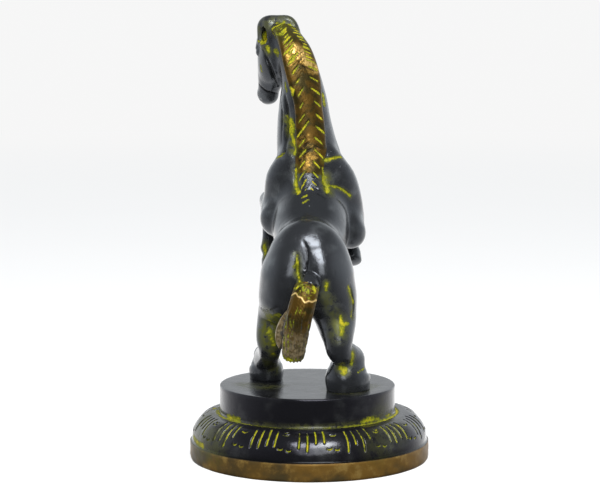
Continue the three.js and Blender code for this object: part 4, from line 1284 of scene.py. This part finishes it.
def pigment_group():
    """Lime pigment over a colour: a ragged edge, and olive and thin where there is less of it."""
    tree = bpy.data.node_groups.new("lime_pigment", "ShaderNodeTree")
    for name, kind in (("Place", "Vector"), ("Colour", "Color"), ("Mask", "Float"), ("Stain", "Float")):
        tree.interface.new_socket(name, in_out="INPUT", socket_type="NodeSocket" + kind)
    tree.interface.new_socket("Colour", in_out="OUTPUT", socket_type="NodeSocketColor")
    tree.interface.new_socket("Cover", in_out="OUTPUT", socket_type="NodeSocketFloat")
    n = Nodes(tree)
    given = n.add("NodeGroupInput").outputs
    place, colour, mask = given["Place"], given["Colour"], given["Mask"]
    fine = n.math("SUBTRACT", n.noise(place, 900, 5, 0.7), 0.5)
    broad = n.math("SUBTRACT", n.noise(place, 260, 4, 0.6), 0.5)
    ragged = n.math("ADD", n.math("MULTIPLY", fine, 1.9), n.math("MULTIPLY", broad, 1.3))
    amount = n.math("ADD", mask, n.math("MULTIPLY", ragged, n.range(mask, 0.05, 0.4, 0.2, 1)))
    tint = n.mix(n.range(n.noise(place, 420), 0.4, 0.6), PIGMENT_LIME, PIGMENT_YELLOW)
    tint = n.mix(n.range(amount, 0.75, 1.1), n.mix(0.5, PIGMENT_OLIVE, PIGMENT_LIME), tint)
    washed = n.math("MULTIPLY", given["Stain"], n.range(n.noise(place, 330, 5, 0.65), 0.32, 0.54))
    halo = n.math("MULTIPLY", n.math("MAXIMUM", n.range(amount, 0.22, 0.5), washed), 0.9)
    cover = n.range(amount, 0.55, 0.7)
    final = n.add("NodeGroupOutput")
    n.give(final.inputs["Colour"], n.mix(cover, n.mix(halo, colour, PIGMENT_OLIVE), tint))
    n.give(final.inputs["Cover"], n.math("MAXIMUM", cover, n.math("MULTIPLY", halo, 0.8)))
    return tree


def horse_finish(pigment):
    material, n, shader = new_material("black_painted_brass")
    place = n.add("ShaderNodeTexCoord").outputs["Object"]
    metal, mane, along = n.mark("metal"), n.mark("mane"), n.mark("along")
    stroke, strand = n.mark("stroke"), n.mark("strand")
    smear, hollow, rubbed_and_highlight = n.mark("pigment"), n.mark("hollow"), n.mark("rubbed_and_highlight")
    cloud = n.noise(place, 90)
    grit = n.noise(place, 900)
    paint = n.mix(n.range(cloud, 0.5, 0.75), PAINT_BLACK, PAINT_WORN)

    # The mane and the tail: brown patina, olive at the crown, ashen at the tail's end, greasy in its middle
    brown = n.mix(n.range(n.noise(place, 200, 5), 0.38, 0.6), PATINA_DARK, PATINA_BROWN)
    top = n.math("MULTIPLY", mane, n.range(along, 2.2, 1.2))
    brown = n.mix(n.math("MULTIPLY", top, 0.8), brown, PATINA_OLIVE)
    ash = n.math("MULTIPLY", n.mark("ashen"), n.range(n.noise(place, 500, 4), 0.4, 0.6, 0.3, 1))
    brown = n.mix(ash, brown, PATINA_ASH)
    brown = n.mix(n.math("MULTIPLY", n.mark("greased"), 0.85), brown, PATINA_DARK)

    # Brass where they are rubbed, which at the poll is also a painted highlight, and the thread round the
    # cuff
    shiny = n.math("MULTIPLY", n.range(n.noise(place, 380, 5, 0.65), 0.42, 0.58), n.range(rubbed_and_highlight, 0.5, 0.9))
    bare = n.mix(shiny, BRASS_DULL, BRASS_BRIGHT)
    rub = n.math("ADD", rubbed_and_highlight, n.math("MULTIPLY", n.math("SUBTRACT", n.noise(place, 330, 5, 0.65), 0.5), 1.3))
    rub = n.math("MULTIPLY", n.range(rub, 0.4, 0.75), metal)
    brown = n.mix(rub, brown, bare)
    brown = n.mix(n.mark("thread"), brown, BRASS_PALE)

    # Paint up to a ragged edge, with painted shade in the hollows, and the creases darkened nearly black
    edge = n.range(n.math("ADD", metal, n.math("MULTIPLY", n.math("SUBTRACT", grit, 0.5), 0.4)), 0.4, 0.6)
    colour = n.mix(edge, paint, brown)
    # Painted shade: darker in the hollows
    colour = n.mix(n.math("MULTIPLY", n.range(hollow, 0.25, 0.7), 0.75), colour, PAINT_BLACK)
    colour = n.mix(n.math("MULTIPLY", n.mark("crease"), 0.8), colour, NEAR_BLACK)

    # Pigment in the strokes, in the tail's grooves, in specks on the cuff and in the smears
    lines = n.math("MAXIMUM", n.math("MULTIPLY", stroke, 2.2), n.math("MULTIPLY", strand, 1.6))
    lines = n.math("MULTIPLY", lines, n.range(n.noise(place, 120), 0.36, 0.5, 0.6, 1.1))
    specks = n.math("MULTIPLY", n.mark("cuff"), n.range(n.noise(place, 1500, 2), 0.55, 0.63, 0, 0.8))
    lines = n.math("MAXIMUM", lines, specks)
    over = n.add("ShaderNodeGroup", node_tree=pigment)
    n.give(over.inputs["Place"], place)
    n.give(over.inputs["Colour"], colour)
    n.give(over.inputs["Mask"], n.math("MAXIMUM", smear, lines))
    n.give(over.inputs["Stain"], n.mark("stain"))
    n.give(shader.inputs["Base Color"], over.outputs["Colour"])

    # Glossy paint, duller patina, dull pigment
    bare_metal = n.math("SUBTRACT", 1.0, over.outputs["Cover"])
    soft = n.range(cloud, 0.3, 0.7, 0.16, 0.27)
    dull = n.blend(edge, soft, PATINA_ROUGHNESS)
    n.give(shader.inputs["Roughness"], n.blend(bare_metal, PIGMENT_ROUGHNESS, dull))
    shine = n.blend(edge, PAINT_METALLIC, n.range(rub, 0.2, 0.8, 0.7, 0.95))
    n.give(shader.inputs["Metallic"], n.math("MULTIPLY", shine, bare_metal))

    # The grain of the casting under the paint, with a few pits
    pits = n.range(n.noise(place, 420, 2), 0.66, 0.72)
    relief = n.math("SUBTRACT", n.math("MULTIPLY", grit, 0.5), n.math("MULTIPLY", pits, 0.8))
    relief = n.math("ADD", relief, n.math("MULTIPLY", n.noise(place, 260, 3), 0.8))
    bump = n.add("ShaderNodeBump", {"Height": relief, "Strength": 0.35, "Distance": GRAIN_HEIGHT})
    n.give(shader.inputs["Normal"], bump.outputs[0])
    return material


def plinth_finish(pigment):
    material, n, shader = new_material("black_painted_plinth")
    place = n.add("ShaderNodeTexCoord").outputs["Object"]
    carve, band, seam, smear = n.mark("carve"), n.mark("band"), n.mark("seam"), n.mark("pigment")
    cloud = n.noise(place, 70)
    grit = n.noise(place, 800)
    paint = n.mix(n.range(cloud, 0.5, 0.75), PAINT_DEEP, PAINT_DEEP_WORN)

    # The raw band below the paint, blotched, with the ledge above it darkened nearly black
    raw = n.mix(n.range(n.noise(place, 55, 6), 0.36, 0.6), BAND_DARK, BAND_BROWN)
    raw = n.mix(n.range(n.noise(place, 110, 6, 0.65), 0.52, 0.68), raw, BAND_PALE)
    ragged = n.math("MULTIPLY", n.math("SUBTRACT", n.noise(place, 260, 5), 0.5), 0.9)
    bare = n.range(n.math("ADD", band, ragged), 0.45, 0.55)
    colour = n.mix(n.math("MULTIPLY", n.mark("ledge"), 0.9), n.mix(bare, paint, raw), NEAR_BLACK)

    # Pigment in the carving, in the seam at the drum's foot and in the smears
    lines = n.math("MULTIPLY", carve, n.range(n.noise(place, 60, 3), 0.36, 0.54, 0.6, 1.3))
    in_seam = n.math("MULTIPLY", seam, n.range(n.noise(place, 40, 3), 0.4, 0.5, 1.0, 1.35))
    lines = n.math("MAXIMUM", lines, in_seam)
    over = n.add("ShaderNodeGroup", node_tree=pigment)
    n.give(over.inputs["Place"], place)
    n.give(over.inputs["Colour"], colour)
    n.give(over.inputs["Mask"], n.math("MAXIMUM", smear, lines))
    n.give(over.inputs["Stain"], n.mark("stain"))
    n.give(shader.inputs["Base Color"], over.outputs["Colour"])

    # Glossy paint, a duller band, dull pigment
    bare_metal = n.math("SUBTRACT", 1.0, over.outputs["Cover"])
    soft = n.range(cloud, 0.3, 0.7, 0.14, 0.24)
    dull = n.blend(bare, soft, BAND_ROUGHNESS)
    n.give(shader.inputs["Roughness"], n.blend(bare_metal, PIGMENT_ROUGHNESS, dull))
    shine = n.blend(bare, PAINT_METALLIC, BAND_METALLIC)
    n.give(shader.inputs["Metallic"], n.math("MULTIPLY", shine, bare_metal))
    relief = n.math("ADD", n.math("MULTIPLY", grit, 0.5), n.math("MULTIPLY", n.noise(place, 200, 3), 0.8))
    bump = n.add("ShaderNodeBump", {"Height": relief, "Strength": 0.3, "Distance": GRAIN_HEIGHT})
    n.give(shader.inputs["Normal"], bump.outputs[0])
    return material


# The studio: how bright the floor is to the eye near and far, and in reflections in front and behind
FLOOR_NEAR = 0.58
FLOOR_FAR = 0.925
FLOOR_GLOSS_FRONT = 0.02
FLOOR_GLOSS_BACK = 1.6
SIDE_SPREAD = (-0.97, 0.6)
FLOOR_COLOUR = 0.30
BACKDROP_LEVEL = 0.925
SIDE_LEVEL = 1.7
TOP_LEVEL = 0.28
NEAR_LEVEL = 0.03
COOL_LIGHT = (0.93, 0.97, 1.0, 1)


FLOOR_RINGS = (60.0, 200.0, 700.0, 3000.0, 9000.0)
FLOOR_SIDES = 96
FLOOR_ROUGHNESS = 0.8
WHITE = (1, 1, 1, 1)
NO_COLOUR = (0, 0, 0, 1)

# Each lamp: name, place, what it is aimed at, width and height, watts, and whether it is seen in reflections
LAMPS = [
    ("top_softbox", (0.10, -0.50, 0.72), (0.0, 0.0, 0.1), (0.46, 0.25), 8.0, True),
    ("high_card", (0.10, -0.85, 0.51), (0.0, 0.0, 0.1), (0.50, 0.62), 4.6, True),
    ("front_fill", (-0.2, -1.3, 0.7), (0.0, 0.0, 0.08), (0.9, 0.7), 22.0, False),
]


def floor_sheet():
    angle = np.arange(FLOOR_SIDES) * 2 * math.pi / FLOOR_SIDES
    rings = [np.stack([r * np.cos(angle), r * np.sin(angle), 0 * angle], 1) for r in FLOOR_RINGS]
    points = np.vstack([[[0, 0, 0]], *rings])
    ring = np.arange(FLOOR_SIDES)
    after = (ring + 1) % FLOOR_SIDES
    triangles = [np.stack([0 * ring, 1 + ring, 1 + after], 1)]
    for i in range(len(rings) - 1):
        a, b = 1 + i * FLOOR_SIDES, 1 + (i + 1) * FLOOR_SIDES
        triangles.append(np.stack([a + ring, b + ring, b + after], 1))
        triangles.append(np.stack([a + ring, b + after, a + after], 1))
    return points, np.concatenate(triangles)


def build_floor():
    floor = mesh_piece("floor", *floor_sheet())
    material, n, shader = new_material("pale_floor")
    place = n.add("ShaderNodeTexCoord").outputs["Object"]
    glossy = n.add("ShaderNodeLightPath").outputs["Is Glossy Ray"]
    axes = n.add("ShaderNodeSeparateXYZ", {0: place})
    flat = n.add("ShaderNodeCombineXYZ", {"X": axes.outputs["X"], "Y": axes.outputs["Y"]})
    far = n.range(n.add("ShaderNodeVectorMath", {0: flat}, operation="LENGTH").outputs["Value"], 0.5, 5.0)
    heading = n.add("ShaderNodeVectorMath", {0: flat}, operation="NORMALIZE")
    ahead = n.add("ShaderNodeSeparateXYZ", {0: heading}).outputs["Y"]
    behind = n.range(ahead, *SIDE_SPREAD)
    lit = n.math("MULTIPLY", n.math("SUBTRACT", 1.0, glossy), n.math("SUBTRACT", 1.0, far))
    pale = n.range(n.noise(place, 3), 0.3, 0.7, FLOOR_COLOUR, FLOOR_COLOUR * 1.01)
    grey = n.add("ShaderNodeCombineColor", {0: pale, 1: pale, 2: pale})
    n.give(shader.inputs["Base Color"], n.mix(lit, NO_COLOUR, grey))
    shader.inputs["Roughness"].default_value = FLOOR_ROUGHNESS
    shader.inputs["Specular IOR Level"].default_value = 0.0
    shader.inputs["Emission Color"].default_value = WHITE
    seen = n.blend(far, FLOOR_NEAR, FLOOR_FAR)
    mirrored = n.blend(behind, FLOOR_GLOSS_FRONT, FLOOR_GLOSS_BACK)
    n.give(shader.inputs["Emission Strength"], n.blend(glossy, seen, mirrored))
    floor.data.materials.append(material)


def build_world():
    """Light by direction: bright behind the horse and at its sides, dim overhead and behind the camera."""
    world = bpy.data.worlds.new("studio")
    bpy.context.scene.world = world
    world.use_nodes = True
    world.node_tree.nodes.clear()
    n = Nodes(world.node_tree)
    towards = n.add("ShaderNodeTexCoord").outputs["Generated"]
    axes = n.add("ShaderNodeSeparateXYZ", {0: towards})
    aside = n.math("MULTIPLY", n.range(axes.outputs["Y"], *SIDE_SPREAD), SIDE_LEVEL)
    straight = n.range(axes.outputs["Y"], 0.86, 0.985)
    around = n.math("MULTIPLY", aside, n.range(straight, 0, 1, 1, 0.45))
    light_path = n.add("ShaderNodeLightPath").outputs
    high = n.math("MULTIPLY", light_path["Is Glossy Ray"], n.range(axes.outputs["Z"], 0.3, 0.95))
    around = n.math("MULTIPLY", around, n.math("SUBTRACT", 1.0, high))
    above = n.math("MULTIPLY", n.range(axes.outputs["Z"], 0.2, 0.7), TOP_LEVEL)
    level = n.math("MAXIMUM", n.math("MAXIMUM", around, above), NEAR_LEVEL)
    seen = light_path["Is Camera Ray"]
    strength = n.blend(seen, level, BACKDROP_LEVEL)
    tint = n.mix(seen, COOL_LIGHT, WHITE)
    background = n.add("ShaderNodeBackground", {"Color": tint, "Strength": strength})
    output = n.add("ShaderNodeOutputWorld")
    world.node_tree.links.new(background.outputs[0], output.inputs["Surface"])


def add_lamp(name, place, aim, size, watts, glossy):
    data = bpy.data.lights.new(name, "AREA")
    data.shape = "RECTANGLE"
    data.size, data.size_y = size
    data.energy = watts
    lamp = bpy.data.objects.new(name, data)
    lamp.location = place
    lamp.rotation_euler = (Vector(aim) - Vector(place)).to_track_quat("-Z", "Y").to_euler()
    lamp.visible_glossy = glossy
    bpy.context.scene.collection.objects.link(lamp)


pigment = pigment_group()
build_horse().data.materials.append(horse_finish(pigment))
build_plinth().data.materials.append(plinth_finish(pigment))
build_floor()
build_world()
for lamp in LAMPS:
    add_lamp(*lamp)
bpy.context.scene.view_settings.view_transform = "Standard"
bpy.context.scene.view_settings.look = "None"
